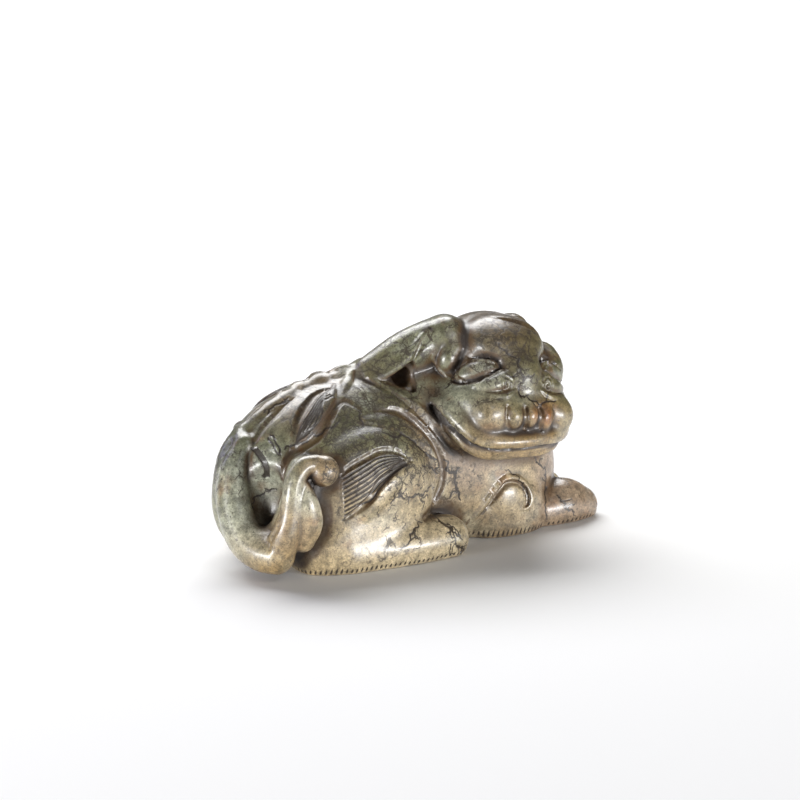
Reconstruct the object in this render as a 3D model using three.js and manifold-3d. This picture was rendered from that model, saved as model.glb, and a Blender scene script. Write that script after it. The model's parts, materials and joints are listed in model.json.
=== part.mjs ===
// Carved jade lion, lying down with its head turned to its right side.
// Millimetres, +Z up, +X to the lion's front. The origin is the bottom centre of the
// carving, which rests on the flat undersides of its haunches, belly and feet.
//
// The form is worked as a carver would: rounded masses are put together, creases are cut
// between them, and locks, lids and lips are raised on the surface. Each step changes a
// signed depth (negative inside the stone). The surface where the depth is nought is then
// meshed, thinned to a small number of faces, and cut flat underneath.

import * as THREE from 'three';
import Module from 'manifold-3d';

// Overall sizes and places
const GRID = 0.65; // spacing of the samples that the surface is meshed from
const FACES = 10350; // faces kept before the underside is cut flat
const EXTENT = { min: [-47, -28, -7], max: [49, 26, 50] }; // room round the carving
const MIDDLE = [-0.645, -0.915]; // centre of the footprint, measured in the carver's frame
const HEAD_AT = [18.3, -5, 33.27]; // centre of the head
const HEAD_TURN = 2; // degrees past square to the body
const HEAD_TILT = 9; // degrees, the far side lower
const BASE_DEPTH = 20; // depth of the block that is cut away below the base

// Widths and depths of the cuts: raise is above the surface, or below it where negative,
// and edge is how wide its slope is.
const CREASE = { raise: -2.2, edge: 1.7 };
const FOLD = { raise: -1.2, edge: 1.2 };
const LOCK_EDGE = { raise: -1.3, edge: 1.0 };
const NOTCH = { raise: -0.8, edge: 0.7 };
const SOFT_BLEND = 4;
const CLEAN_BLEND = 1.2;
const CRISP_BLEND = 0.5;
const TINY = 1e-6; // keeps a division by nothing away

// Each form is a ball (at, size), a strand (along, radius) or a relief (along, half).
// square above 2 makes a ball boxier, blend is how softly it joins, cut takes stone away,
// and pair makes the same form on the other side of the body or the face.

const TRUNK = [
  { at: [-17.5, 0.5, 15], size: [24, 17.5, 20.5], blend: SOFT_BLEND, square: 2.1 },
  { at: [-4, 0, 17], size: [20, 14.5, 20], blend: 6, square: 2.2 },
  { at: [15.5, 0, 11.5], size: [21.5, 13.8, 18.5], blend: 6, square: 2.1 },
  { at: [14, 0, 27], size: [14, 11, 12], blend: 8 },
  { at: [6, 2.5, 32.5], size: [15, 9.5, 9.5], blend: 4 },
  { at: [-38.5, -11, 15], size: [5.2, 5.6, 8], blend: 2, cut: true },
];

const LEGS = [
  { at: [-16, 12.5, 14], size: [15.5, 8.5, 15], blend: CLEAN_BLEND, roll: -12, square: 2.2, pair: true },
  { at: [-18, 13, 4], size: [15, 8, 8], blend: 3, square: 2.6, pair: true },
  { along: [[-22, 16.5, 3], [-8, 17.3, 3.5], [1, 17.3, 3.5]], radius: [5, 5.5, 5],
    blend: CLEAN_BLEND, pair: true },
  { at: [20.5, 9, 4.5], size: [9.5, 5.6, 9], blend: 1, square: 2.3, pair: true },
  { along: [[27, 7, 2.4], [35.5, 7.2, 3.2], [40.6, 7, 2.2]], radius: [5, 5.8, 4.4],
    blend: CLEAN_BLEND, pair: true },
];

const SKULL = [
  { at: [0.3, 1, 3], size: [12.3, 13, 11.2], blend: SOFT_BLEND },
  { at: [0, -4, -4.5], size: [15, 14, 8], blend: 3, square: 2.6 },
  { at: [0, -3, -9.5], size: [14.6, 13.4, 5.2], blend: 2, square: 2.6 },
];

const NEAR_EAR = [
  { along: [[9, -3, 43], [0, -3, 41], [-8, -1.5, 37]], radius: [5, 4.6, 3.8], blend: 2 },
  { at: [-3.2, -5.4, 36.6], size: [2.2, 5.4, 2.1], blend: 0.6, roll: -35, cut: true },
  { along: [[-6.3, -6.3, 36.6], [-3.5, -5.8, 37.6], [-2, -7, 38.8], [-1.9, -7.4, 36.4],
    [-2, -8.2, 34], [-4, -6.8, 35.4]], radius: [0.3, 1, 1.3, 1.3, 0.7, 0.6], blend: 0.4, cut: true },
  { along: [[4.5, -6.4, 46.2], [1.7, -6.6, 44.8], [-0.4, -7.2, 43.1], [-2.1, -7.2, 40.9],
    [-4.6, -6.5, 38.9], [-7.1, -5.9, 37.6], [-9.7, -5.2, 37.3], [-11, -3.3, 38]],
    half: [0.6, 1.3, 1.5, 1.5, 1.3, 0.6], raise: 0.6, edge: 1.3 },
  { along: [[2, -6.2, 46.5], [-1.5, -6.6, 44], [-4, -6, 41.6], [-7.5, -4.6, 39.4]],
    half: [0.6, 1.6, 1.6, 0.6], raise: -0.3, edge: 1.6 },
  { along: [[5.6, -5.6, 46.6], [2.6, -6.6, 45.3], [0.8, -7.4, 43.4], [-0.6, -7.9, 41],
    [-1.4, -8, 39.4]], half: [0.4, 0.9, 1, 0.9, 0.5], raise: -0.9, edge: 0.9 },
];

// The forms of the face are in the head's own frame: x across it, -y out of the face.
const BROW = [
  { at: [-0.3, -5, 8.5], size: [9, 6.8, 5.2], blend: 1.5, pitch: 25, square: 2.3 },
  { at: [0.3, -9.6, 2.6], size: [5.8, 6.2, 5.2], blend: 2.5, square: 2.2 },
];

const EYES = [
  { at: [-9.3, -9.7, 3.7], size: [5.4, 2.3, 3], blend: 1.2, yaw: -36, roll: -24, cut: true, pair: true },
  { at: [-8.6, -8.8, 2.8], size: [4.9, 2.7, 2.8], blend: 0.3, yaw: -36, roll: -24, pair: true },
  { at: [-4.7, -13.2, 1.8], size: [2.9, 2.4, 2.7], blend: 0.4, pair: true },
  { along: [[-12.4, -7.1, 2.3], [-12, -8.6, 0.9], [-11.2, -11.1, 0.6], [-9.6, -12.4, 1.2],
    [-7.2, -12.4, 2.5], [-4.9, -11.6, 4.2]], half: [0.4, 0.9, 1, 1, 0.8, 0.4], raise: 0.7, edge: 0.9,
    pair: true },
  { along: [[-11, -5.3, 3.2], [-9.8, -6.4, 4.9], [-9, -9.2, 5.7], [-7.3, -10.8, 6], [-5, -11, 5.4]],
    half: [0.3, 0.7, 0.7, 0.7, 0.3], raise: 0.4, edge: 0.6, pair: true },
  { along: [[-11.1, -13.5, -0.3], [-9.5, -15.4, -0.1], [-7.5, -16.5, -0.3], [-5.4, -16.7, 0],
    [-3.2, -16, 1]], half: [0.2, 0.6, 0.8, 0.8, 0.4], raise: 0.6, edge: 0.7, pair: true },
  { along: [[-12.6, -3.2, 6.6], [-13.2, -3, 4.6], [-12.9, -4, 2.6], [-11.9, -6.2, 0.9]],
    half: [2.4, 2.7, 1.8, 0.3], raise: 0.6, edge: 2.2, pair: true },
  { at: [-12.7, -3.2, 4.6], size: [2.3, 2.4, 3.3], blend: 0.9, pair: true },
  { at: [-11.3, -3.3, 7.2], size: [1.6, 1.7, 1.6], blend: 1.5, pair: true },
  { along: [[-14.5, -2, 7], [-15.6, -2.2, 4.8], [-14.9, -2, 3.3], [-13.7, -3.9, 1.6],
    [-12.5, -6.3, 0.5]], half: [0.3, 0.6, 0.7, 0.7, 0.4], raise: 0.5, edge: 0.7, pair: true },
];

const MUZZLE = [
  { at: [-8.2, -15.2, -4.9], size: [3.6, 3, 3.6], blend: 2 },
  { at: [9.2, -15, -4.7], size: [3.5, 3, 3.6], blend: 2 },
  { at: [-3.8, -17, -4.7], size: [2.3, 2.4, 2.8], blend: 0.7, pair: true },
  { at: [0, -17.3, -4.4], size: [2, 2.3, 2.6], blend: 0.7 },
  { at: [-5.7, -18.9, -3.9], size: [0.8, 1.3, 0.7], blend: 0.3, cut: true, pair: true },
  { along: [[-2.8, -15.8, 1.8], [-2.4, -16.4, 0.5], [-0.1, -17, -0.2], [3, -16.9, -0.4],
    [6.5, -16.7, -0.4]], half: [0.4, 0.9, 1, 0.9, 0.4], raise: -0.7, edge: 1 },
];

const TEMPLES = [
  { at: [-12.3, -0.6, 9.6], size: [3.7, 3.4, 3.5], blend: 1.8 },
  { at: [7.6, 4.3, 10], size: [4, 3.8, 3.5], blend: 1 },
  { at: [11.2, -4.6, 2.8], size: [3.9, 5.4, 5.4], blend: 1.5 },
  { along: [[-3.4, -3.7, 12.8], [-0.6, -5.2, 12.8], [2.8, -6.1, 12.2], [6.6, -6.8, 10.2],
    [8.2, -8.2, 7.1], [7.9, -10.8, 4.4]], half: [0.3, 0.9, 1.1, 1.2, 1.2, 0.8], ...NOTCH },
];

const MOUTH = [
  { along: [[-15.4, -3.6, -5.6], [-15.2, -6, -4.6], [-14.5, -9.3, -5.6], [-13.2, -12.1, -7.5],
    [-11.6, -14.2, -9.1], [-9.8, -15.7, -10], [-7, -16.9, -10.2], [-1.8, -17.7, -9.8],
    [4.1, -17.4, -9.2], [8.1, -16.2, -8.8], [12.2, -12.9, -8.2], [14.4, -8.6, -6.2], [15, -5, -5.4]],
    radius: [1, 1.6, 1.8, 1.8, 1.8, 1.7, 1.5, 1], blend: 2 },
  { along: [[-16.6, -5.2, -5.2], [-15.8, -7.2, -6.4], [-14.2, -10.2, -8], [-12.5, -13, -9.9],
    [-10.3, -15.4, -11.6], [-7.4, -17, -12], [-3.8, -17.8, -11.7], [2, -18, -11], [5.3, -17.6, -10.7],
    [9, -15.6, -10.2], [12.5, -11.5, -9.4], [14, -8, -7.6]], radius: [0.8, 1.2, 1.1, 1, 0.8, 0.5],
    blend: CRISP_BLEND, cut: true },
  { along: [[-14.9, -4.4, -7.2], [-14.2, -8.2, -8.6], [-12.9, -11.3, -10.3], [-11.1, -13.4, -12.2],
    [-8.3, -15, -13.2], [-4.8, -16.1, -13.1], [-0.4, -16.4, -12.6], [4.9, -16, -12.2],
    [9.5, -14, -11.4], [13, -10, -9.8], [14.4, -6, -7.6]], radius: [0.9, 1.2, 1.1, 1, 1, 0.8],
    blend: CRISP_BLEND },
];

const FAR_EAR = [
  { along: [[7.6, 4, 8.6], [9.4, 9.6, 6.4], [9.2, 13, 1.4], [7.6, 13.6, -4.4]],
    radius: [3.4, 4.6, 4.2, 1.6], blend: 1.5 },
  { along: [[9.4, 7, 10.4], [11.4, 12.2, 7.4], [11.6, 16, 2.2], [9.8, 16, -3]],
    half: [0.5, 1.7, 1.8, 0.5], raise: -0.9, edge: 1.5 },
];

const TAIL = [
  { along: [[-36.5, 2.5, 26.5], [-40, 0.6, 21.5], [-41.2, -1.4, 12.5], [-39.8, -5, 7],
    [-37.5, -11, 5.5]], radius: [2.4, 3.4, 4.2, 4, 3.4], blend: CLEAN_BLEND },
  { along: [[-38.6, -1.5, 24.8], [-40.9, -2.5, 21.4], [-42.2, -3.5, 17.1], [-42.6, -5.5, 12.3],
    [-42.1, -9, 7.8], [-40.6, -13, 5.8], [-39, -16.5, 5.4]], radius: [2.2, 3, 3.4, 3.7, 4, 4.1, 3.8],
    blend: CRISP_BLEND },
  { along: [[-36, -13.5, 8], [-34, -15, 15], [-31.5, -14.5, 22]], radius: [3.5, 3, 3], blend: 3 },
  { along: [[-38.6, -16.8, 5.8], [-37.8, -18.6, 10.4], [-37, -19.2, 14.9], [-36.6, -19.3, 19],
    [-35.6, -19, 22.1], [-33.6, -18.8, 24.3], [-31, -19, 24.6]],
    radius: [3.4, 3, 2.4, 2.1, 2.1, 2.1, 2], blend: CRISP_BLEND },
  { at: [-29.4, -19.4, 23], size: [3.3, 3.2, 3.3], blend: 0.4 },
  { along: [[-33.9, -19.8, 20.4], [-33.6, -19.9, 16.8], [-33.1, -19.5, 12.5], [-34, -18.8, 8.8]],
    radius: [1.2, 2.5, 3.1, 2.6], blend: 0.8 },
  { at: [-38.3, -1.8, 25.7], size: [2.1, 2.2, 2.2], blend: 1 },
  { along: [[-41.5, -18.3, 7.2], [-41, -18.3, 9.8], [-40.4, -19.2, 12], [-39.4, -20, 14]],
    half: [0.4, 0.8, 0.8, 0.3], raise: -0.8, edge: 0.8 },
];

const BELLY = [
  { at: [-3, 0, -4], size: [31, 9, 6.4], blend: 1.5, square: 3, cut: true },
];

const NECK_EDGE = [
  { along: [[-11.1, -3.4, 38.2], [-9.8, -5.4, 36.7], [-7, -7.3, 35.3], [-5.2, -9.2, 33.7],
    [-2.9, -10.6, 32], [-0.9, -11.8, 30], [1.4, -13, 27.2], [4.2, -14.1, 23.6], [7.1, -14.1, 20.3]],
  half: [0.4, 0.9, 0.9, 0.5], raise: 0.45, edge: 0.9 },
  { along: [[-12.4, -3.4, 37.1], [-8.3, -7.3, 34.2], [-4.2, -10.6, 30.9], [0.1, -13, 26.1],
    [5.8, -14.1, 19.2]], half: [0.3, 0.8, 0.8, 0.3], raise: -0.5, edge: 0.9 },
];

const HAUNCH_LINES = [
  { along: [[-34.8, 11.7, 18.8], [-33, 11.2, 23.8], [-30.3, 11.4, 26.3], [-27, 11.8, 28],
    [-23.9, 10.5, 30.5], [-20.3, 8.2, 33.1], [-17.9, 8, 33.8], [-15.6, 10.4, 32]],
  half: [0.6, 1.4, 1.6, 1.6, 1.2, 0.6], ...CREASE, pair: true },
  { along: [[-15.6, 11.1, 31.7], [-11.3, 11.5, 31.6], [-6.9, 12.1, 30.7], [-1.8, 13.9, 25.9],
    [0.5, 14.4, 22], [1.8, 14.7, 18.4], [1.5, 14.9, 14.5], [-0.3, 15, 11.3]],
  half: [0.5, 1.3, 1.3, 1.3, 1.2], ...FOLD, pair: true },
  { along: [[-15.4, 12.4, 30.2], [-9, 13.8, 28.6], [-5.2, 14.3, 26.5], [-1.5, 14.5, 23.4],
    [0.3, 14.9, 19.5], [0.7, 15, 15.5]], half: [1.2, 2.3, 2.3, 2, 1.5, 0.8], raise: 0.5, edge: 1.2,
  pair: true },
  { along: [[-8.1, 18.8, 22.1], [-11.6, 18.7, 24.5], [-15.5, 18.7, 25.1], [-18.6, 18.9, 24.3],
    [-22.9, 18.8, 22.7], [-25.4, 18.7, 20.7]], half: [0.5, 1, 1, 1, 0.3], ...LOCK_EDGE, pair: true },
  { along: [[-8.1, 18.8, 22.1], [-11.6, 19.8, 21.6], [-16.6, 20.7, 18.8], [-19.1, 20.9, 15.8],
    [-22.4, 20.4, 13.4], [-25.1, 19.7, 11.9]], half: [0.5, 1.1, 1.2, 1.1, 0.3], ...LOCK_EDGE,
  pair: true },
  { along: [[-9.6, 19.8, 20.4], [-12.9, 20.6, 18.9], [-16.8, 21, 15.9], [-20, 20.8, 12.5]],
    half: [0.8, 2.6, 2.8, 1.6], raise: 0.7, edge: 2, pair: true },
];

const FOOT_LINES = [
  { along: [[-5.2, 19.2, 9], [-1.5, 17, 9.6], [2, 17.7, 8.4], [3.6, 20.2, 6.2]],
    half: [0.6, 0.9, 0.8, 0.4], ...FOLD, pair: true },
  { along: [[1.3, 22.2, 3.2], [2.6, 21.5, 1.2]], half: 0.7, ...NOTCH, pair: true },
  { along: [[43.6, 10.2, 4.2], [44.6, 9.4, 0.6]], half: 0.7, ...NOTCH, pair: true },
];

// The scroll on the elbow: a raised line that curls over, with a groove inside it.
const SCROLL = [[8, 13, 2.5], [10, 12.7, 4.7], [13.5, 13.4, 8.9], [16.2, 13.5, 11.8], [18.2, 13.4, 13],
  [21.1, 13.3, 12.4], [23.6, 13.4, 10.5], [24.5, 13.9, 8], [23.5, 14.4, 6.1], [21.4, 14.5, 6.2]];
const SCROLL_EYE = [18.5, 13.5, 7.5];
const SCROLL_INSET = 0.22; // how far the groove lies towards the scroll's eye

// Knots of hair along the spine, from the neck to the tail: place and radius
const SPINE_KNOTS = [
  { at: [-12.2, 1, 35.6], r: 3 },
  { at: [-18, 2.4, 34.6], r: 2.9 },
  { at: [-22.9, 2.6, 33.9], r: 2.3 },
  { at: [-27, 2, 32.7], r: 2 },
  { at: [-30.6, 1.4, 31.3], r: 1.8 },
  { at: [-33.8, 1.2, 29.1], r: 1.7 },
];
const KNOT_WIDTH = 1.15; // a knot is wider than it is long
const KNOT_BLEND = 0.8;

const SPINE = [
  { along: [[-8, 1, 37.2], [-12.7, 1.1, 36.9], [-17.7, 2.8, 35.9], [-22.6, 2.7, 35], [-29, 0.9, 33.3],
    [-32.6, 0.9, 31.4], [-34.8, 0.9, 29.7], [-36.5, 0.8, 28.5], [-38.4, 0.2, 26.9]],
  half: [2.2, 2.6, 2.6, 2.4, 2], raise: 0.9, edge: 1.6 },
];

// Locks of hair on each flank, beside the spine
const FLANK_LOCKS = [
  { along: [[-18.7, 3.4, 35.5], [-21.5, 3.2, 35], [-24.9, 5.1, 33.7], [-27.9, 7.1, 31.8],
    [-30.4, 9.1, 28.9], [-32.1, 10.7, 25.7]], half: [0.4, 1.2, 1.3, 1.2, 0.4], ...LOCK_EDGE,
    pair: true },
  { along: [[-18.9, 4.1, 35.2], [-21.9, 5.7, 33.9], [-24.8, 8, 31.8], [-27.6, 9.2, 30.2],
    [-30.4, 10, 27.8]], half: [0.6, 1.9, 2.4, 2, 0.6], raise: 0.7, edge: 1.3, pair: true },
  { along: [[-17.3, 2.4, 35.9], [-19.7, 5.6, 34.6], [-21.8, 8.1, 32.9], [-23.4, 9.6, 31.4]],
    half: [0.5, 1.1, 1.1, 0.3], raise: 1, edge: 0.9, pair: true },
  { along: [[-12.2, 0.8, 37.4], [-14.8, 3.2, 36.2], [-17.2, 6.2, 34.8]], half: [0.8, 1.6, 0.4],
    raise: 0.7, edge: 1, pair: true },
  { along: [[-13.9, 4.6, 36], [-13.3, 7.7, 34.7], [-12.4, 9.8, 33.2]], half: [0.4, 1, 0.3],
    raise: 0.6, edge: 0.8, pair: true },
  { along: [[-34.6, 5.9, 28.1], [-34.6, 8, 26.4], [-34.3, 9.6, 24.9]], half: [0.4, 1.2, 0.3],
    raise: 0.7, edge: 0.8, pair: true },
  { along: [[-25.1, 1.4, 34.6], [-29.1, 2.4, 33], [-31.6, 3, 31.5], [-34.1, 3.2, 29.7],
    [-35.9, 3.5, 27.9], [-37.1, 3.9, 26.4]], half: [0.4, 1.1, 1.1, 0.5], raise: -1, edge: 1,
    pair: true },
];

// The mane on the back of the neck: leaf-shaped locks in a fan, seen from behind
const MANE_LOCKS = 7;
const MANE_FIRST = [-4, 8.5, 35]; // root of the lock nearest the tail
const MANE_LAST = [27, 7.5, 33]; // root of the lock nearest the far ear
const MANE_RISE = 2.5; // how much higher the middle roots are
const MANE_DROP = [[0, 0, 0], [-2.2, 2.2, -3.6], [-3, 3.4, -7.4], [-1.6, 4, -10.8]];
const MANE_HALF = [1.1, 1.9, 1.7, 0.3];
const MANE_RELIEF = { raise: 0.8, edge: 1.1 };

const JADE = { color: 0x8a8a72, roughness: 0.28, metalness: 0 };

// Frames: the body's own, mirrored across y, and the head's, mirrored across x.
function turned(yaw, pitch, roll) {
  const angles = [pitch, roll, yaw].map(THREE.MathUtils.degToRad);
  return new THREE.Matrix4().makeRotationFromEuler(new THREE.Euler(...angles, 'ZXY'));
}
const BODY_FRAME = { matrix: new THREE.Matrix4(), across: 1 };
const HEAD_FRAME = { matrix: turned(HEAD_TURN, 0, HEAD_TILT).setPosition(...HEAD_AT), across: 0 };

// The carving steps, in order. Each has the box that it reaches and a rule for the depth.
const steps = [];

// The depth of the stone at a point, after the steps so far
const FAR_OUTSIDE = 30;
function depthAt(x, y, z) {
  let depth = FAR_OUTSIDE;
  for (const { low, high, rule } of steps) {
    if (x < low[0] || y < low[1] || z < low[2]) continue;
    if (x > high[0] || y > high[1] || z > high[2]) continue;
    depth = rule(x, y, z, depth);
  }
  return depth;
}

// Smallest of two depths, with the corner between them rounded over the blend width
function joined(a, b, blend) {
  const h = Math.max(blend - Math.abs(a - b), 0) / blend;
  return Math.min(a, b) - h * h * blend / 4;
}

function addStep(low, high, reach, rule) {
  steps.push({ low: low.map((v) => v - reach), high: high.map((v) => v + reach), rule });
}

function combine(depth, value, form) {
  return form.cut ? -joined(-depth, value, form.blend) : joined(depth, value, form.blend);
}

// A ball: an ellipsoid, or a boxier solid where square is above 2
const BOXY_SLACK = 1.2; // how much further a turned boxy ball can reach than a round one
const BALL_MARGIN = 3;
const STRAND_MARGIN = 2;
const RELIEF_MARGIN = 0.3;
function addBall(form, frame, side) {
  const { at, size, square = 2, yaw = 0, pitch = 0, roll = 0 } = form;
  const centre = new THREE.Vector3(...at);
  if (side < 0) centre.setComponent(frame.across, -centre.getComponent(frame.across));
  const turn = turned(yaw * side, frame.across === 1 ? pitch * side : pitch,
    frame.across === 0 ? roll * side : roll);
  const place = frame.matrix.clone().multiply(turn.setPosition(centre));
  const m = place.elements;
  const [cx, cy, cz] = [m[12], m[13], m[14]];
  const slack = square === 2 ? 1 : BOXY_SLACK;
  const reach = [0, 1, 2].map((i) => {
    const parts = size.map((v, axis) => m[4 * axis + i] * v);
    return slack * Math.hypot(...parts);
  });
  const rule = (x, y, z, depth) => {
    const [dx, dy, dz] = [x - cx, y - cy, z - cz];
    let power = 0;
    let slope = 0;
    for (let i = 0; i < 3; i++) {
      const q = Math.abs(dx * m[4 * i] + dy * m[4 * i + 1] + dz * m[4 * i + 2]) / size[i];
      power += q ** square;
      slope += (q ** (square - 1) / size[i]) ** 2;
    }
    const radius = power ** (1 / square);
    const scale = Math.sqrt(slope) / (radius ** (square - 1) + TINY) + TINY;
    return combine(depth, (radius - 1) / scale, form);
  };
  const low = [cx - reach[0], cy - reach[1], cz - reach[2]];
  const high = [cx + reach[0], cy + reach[1], cz + reach[2]];
  addStep(low, high, form.blend + BALL_MARGIN, rule);
}

// A smooth line through the form's points, with its width at each of them
const STRETCHES = 5; // straight stretches between two points
function smoothLine(form, frame, side) {
  const points = form.along.map((p) => new THREE.Vector3(...p));
  if (side < 0) points.forEach((p) => p.setComponent(frame.across, -p.getComponent(frame.across)));
  points.forEach((p) => p.applyMatrix4(frame.matrix));
  const widths = [form.radius ?? form.half].flat();
  const curve = new THREE.CatmullRomCurve3(points, false, 'catmullrom', 0.5);
  const count = points.length > 2 ? STRETCHES * (points.length - 1) : 1;
  return curve.getPoints(count).map((p, i) => {
    const t = (i / count) * (widths.length - 1);
    const k = Math.min(Math.floor(t), widths.length - 2);
    const width = widths.length > 1 ? widths[k] + (widths[k + 1] - widths[k]) * (t - k) : widths[0];
    return { x: p.x, y: p.y, z: p.z, width };
  });
}

// How far a point is inside the band round a line: its width less the distance to it
function insideBand(line, x, y, z) {
  let best = -Infinity;
  for (let i = 0; i + 1 < line.length; i++) {
    const a = line[i];
    const b = line[i + 1];
    const [ux, uy, uz] = [b.x - a.x, b.y - a.y, b.z - a.z];
    const [qx, qy, qz] = [x - a.x, y - a.y, z - a.z];
    const length = ux * ux + uy * uy + uz * uz + TINY;
    const t = Math.min(Math.max((qx * ux + qy * uy + qz * uz) / length, 0), 1);
    const distance = Math.hypot(qx - t * ux, qy - t * uy, qz - t * uz);
    best = Math.max(best, a.width + (b.width - a.width) * t - distance);
  }
  return best;
}

function addLine(line, reach, rule) {
  const axes = ['x', 'y', 'z'];
  const low = axes.map((k) => Math.min(...line.map((p) => p[k])));
  const high = axes.map((k) => Math.max(...line.map((p) => p[k])));
  addStep(low, high, reach + Math.max(...line.map((p) => p.width)), rule);
}

// A strand: a round rod along the line
function addStrand(form, frame, side) {
  const line = smoothLine(form, frame, side);
  const rule = (x, y, z, depth) => combine(depth, -insideBand(line, x, y, z), form);
  addLine(line, form.blend + STRAND_MARGIN, rule);
}

// A relief: the surface is raised or sunk in a band along the line, which is first laid
// onto the surface that the steps so far have made.
function addRelief(form, frame, side) {
  const line = smoothLine(form, frame, side);
  line.forEach(layOnSurface);
  const rule = (x, y, z, depth) => {
    const t = Math.min(Math.max(insideBand(line, x, y, z) / form.edge, 0), 1);
    return depth - form.raise * t * t * (3 - 2 * t);
  };
  addLine(line, RELIEF_MARGIN, rule);
}

// The steepest way out of the stone at a point, with the depth there
const PROBE = 0.4; // mm to each side
const LEAST_STEEPNESS = 1e-3;
function slopeAt(x, y, z) {
  const span = 2 * PROBE;
  const gx = (depthAt(x + PROBE, y, z) - depthAt(x - PROBE, y, z)) / span;
  const gy = (depthAt(x, y + PROBE, z) - depthAt(x, y - PROBE, z)) / span;
  const gz = (depthAt(x, y, z + PROBE) - depthAt(x, y, z - PROBE)) / span;
  return { gx, gy, gz, depth: depthAt(x, y, z), steepness: gx * gx + gy * gy + gz * gz + LEAST_STEEPNESS };
}

const LAYING_TURNS = 6;
const LONGEST_MOVE = 1.5; // mm in one turn
function layOnSurface(p) {
  for (let turn = 0; turn < LAYING_TURNS; turn++) {
    const s = slopeAt(p.x, p.y, p.z);
    const move = Math.min(Math.max(s.depth / s.steepness, -LONGEST_MOVE), LONGEST_MOVE);
    p.x -= s.gx * move;
    p.y -= s.gy * move;
    p.z -= s.gz * move;
  }
}

function carve(forms, frame = BODY_FRAME) {
  for (const form of forms) {
    const add = form.size ? addBall : form.radius ? addStrand : addRelief;
    for (const side of form.pair ? [1, -1] : [1]) add(form, frame, side);
  }
}

function carveScroll() {
  const groove = SCROLL.slice(1).map((p) => p.map((v, i) => v + (SCROLL_EYE[i] - v) * SCROLL_INSET));
  carve([
    { at: [19.3, 13, 8.2], size: [4, 1.9, 4.6], blend: 1, pair: true },
    { along: SCROLL, half: [0.3, 1, 1, 1, 1, 0.9, 0.4], raise: 0.7, edge: 0.8, pair: true },
    { along: groove, half: [0.3, 0.8, 0.9, 0.9, 0.9, 0.7, 0.3], raise: -0.8, edge: 0.8, pair: true },
  ]);
}

function carveKnots() {
  carve(SPINE_KNOTS.map(({ at, r }) => ({ at, size: [r, r * KNOT_WIDTH, r], blend: KNOT_BLEND })));
}

function carveMane() {
  for (let i = 0; i < MANE_LOCKS; i++) {
    const t = i / (MANE_LOCKS - 1);
    const root = MANE_FIRST.map((v, axis) => v + (MANE_LAST[axis] - v) * t);
    root[2] += MANE_RISE * 4 * t * (1 - t);
    const lean = 1 - 2 * t; // locks lean away from the middle of the fan
    const along = MANE_DROP.map(([x, y, z]) => [root[0] + x * lean, root[1] + y, root[2] + z]);
    carve([{ along, half: MANE_HALF, ...MANE_RELIEF }]);
  }
}

function carveLion() {
  carve(TRUNK);
  carve(LEGS);
  carve(SKULL, HEAD_FRAME);
  carve(NEAR_EAR);
  carve(BROW, HEAD_FRAME);
  carve(EYES, HEAD_FRAME);
  carve(MUZZLE, HEAD_FRAME);
  carve(TEMPLES, HEAD_FRAME);
  carve(MOUTH, HEAD_FRAME);
  carve(FAR_EAR, HEAD_FRAME);
  carve(TAIL);
  carve(BELLY);
  carve(NECK_EDGE);
  carve(HAUNCH_LINES);
  carve(FOOT_LINES);
  carveScroll();
  carve(SPINE);
  carveKnots();
  carve(FLANK_LOCKS);
  carveMane();
}

// Meshing. The depth is sampled on a grid, only near the surface. Each grid cell that the
// surface crosses gets one vertex for every separate sheet in it, and each grid edge that
// the surface crosses gets a four-sided face between the four cells round it.
const BLOCK = 4; // cells in a block, which is skipped when its centre is far from the surface
const BLOCK_MARGIN = 2; // mm, as the depth is only roughly a distance
const JUST_OUTSIDE = 1e-5; // stands in for a depth of exactly nought
const MOST_SHEETS = 12; // a cell has twelve edges, and a sheet is named after one of them
const PATTERNS = 256; // ways for a cell's eight corners to be inside or outside

function sampleGrid() {
  const count = EXTENT.max.map((v, i) => Math.ceil((v - EXTENT.min[i]) / (GRID * BLOCK)) * BLOCK + 1);
  const values = new Float32Array(count[0] * count[1] * count[2]).fill(NaN);
  const index = (i, j, k) => (k * count[1] + j) * count[0] + i;
  const at = (i, j, k) => [i, j, k].map((v, axis) => EXTENT.min[axis] + v * GRID);
  const half = (BLOCK * GRID) / 2;
  const nearEnough = half * Math.sqrt(3) + BLOCK_MARGIN;
  for (let k = 0; k + 1 < count[2]; k += BLOCK) {
    for (let j = 0; j + 1 < count[1]; j += BLOCK) {
      for (let i = 0; i + 1 < count[0]; i += BLOCK) {
        const centre = at(i, j, k).map((v) => v + half);
        const depth = depthAt(...centre);
        const near = Math.abs(depth) < nearEnough;
        for (let c = k; c <= k + BLOCK; c++) {
          for (let b = j; b <= j + BLOCK; b++) {
            for (let a = i; a <= i + BLOCK; a++) {
              const n = index(a, b, c);
              if (near) values[n] = depthAt(...at(a, b, c)) || JUST_OUTSIDE;
              else if (Number.isNaN(values[n])) values[n] = depth;
            }
          }
        }
      }
    }
  }
  return { values, count, index, at };
}

// A cell's corners are numbered by bits: 1 for x, 2 for y, 4 for z.
const CELL_EDGES = [];
for (const bit of [1, 2, 4]) {
  for (let corner = 0; corner < 8; corner++) {
    if (!(corner & bit)) CELL_EDGES.push([corner, corner | bit]);
  }
}
const CELL_FACES = [];
for (const bit of [1, 2, 4]) {
  for (const side of [0, bit]) {
    const [u, v] = [1, 2, 4].filter((b) => b !== bit);
    CELL_FACES.push([side, side | u, side | u | v, side | v]);
  }
}
const edgeNumber = (a, b) => CELL_EDGES.findIndex(([p, q]) => (p === a && q === b) || (p === b && q === a));
const FACE_EDGES = CELL_FACES.map((face) => face.map((corner, i) => edgeNumber(corner, face[(i + 1) % 4])));

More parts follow.
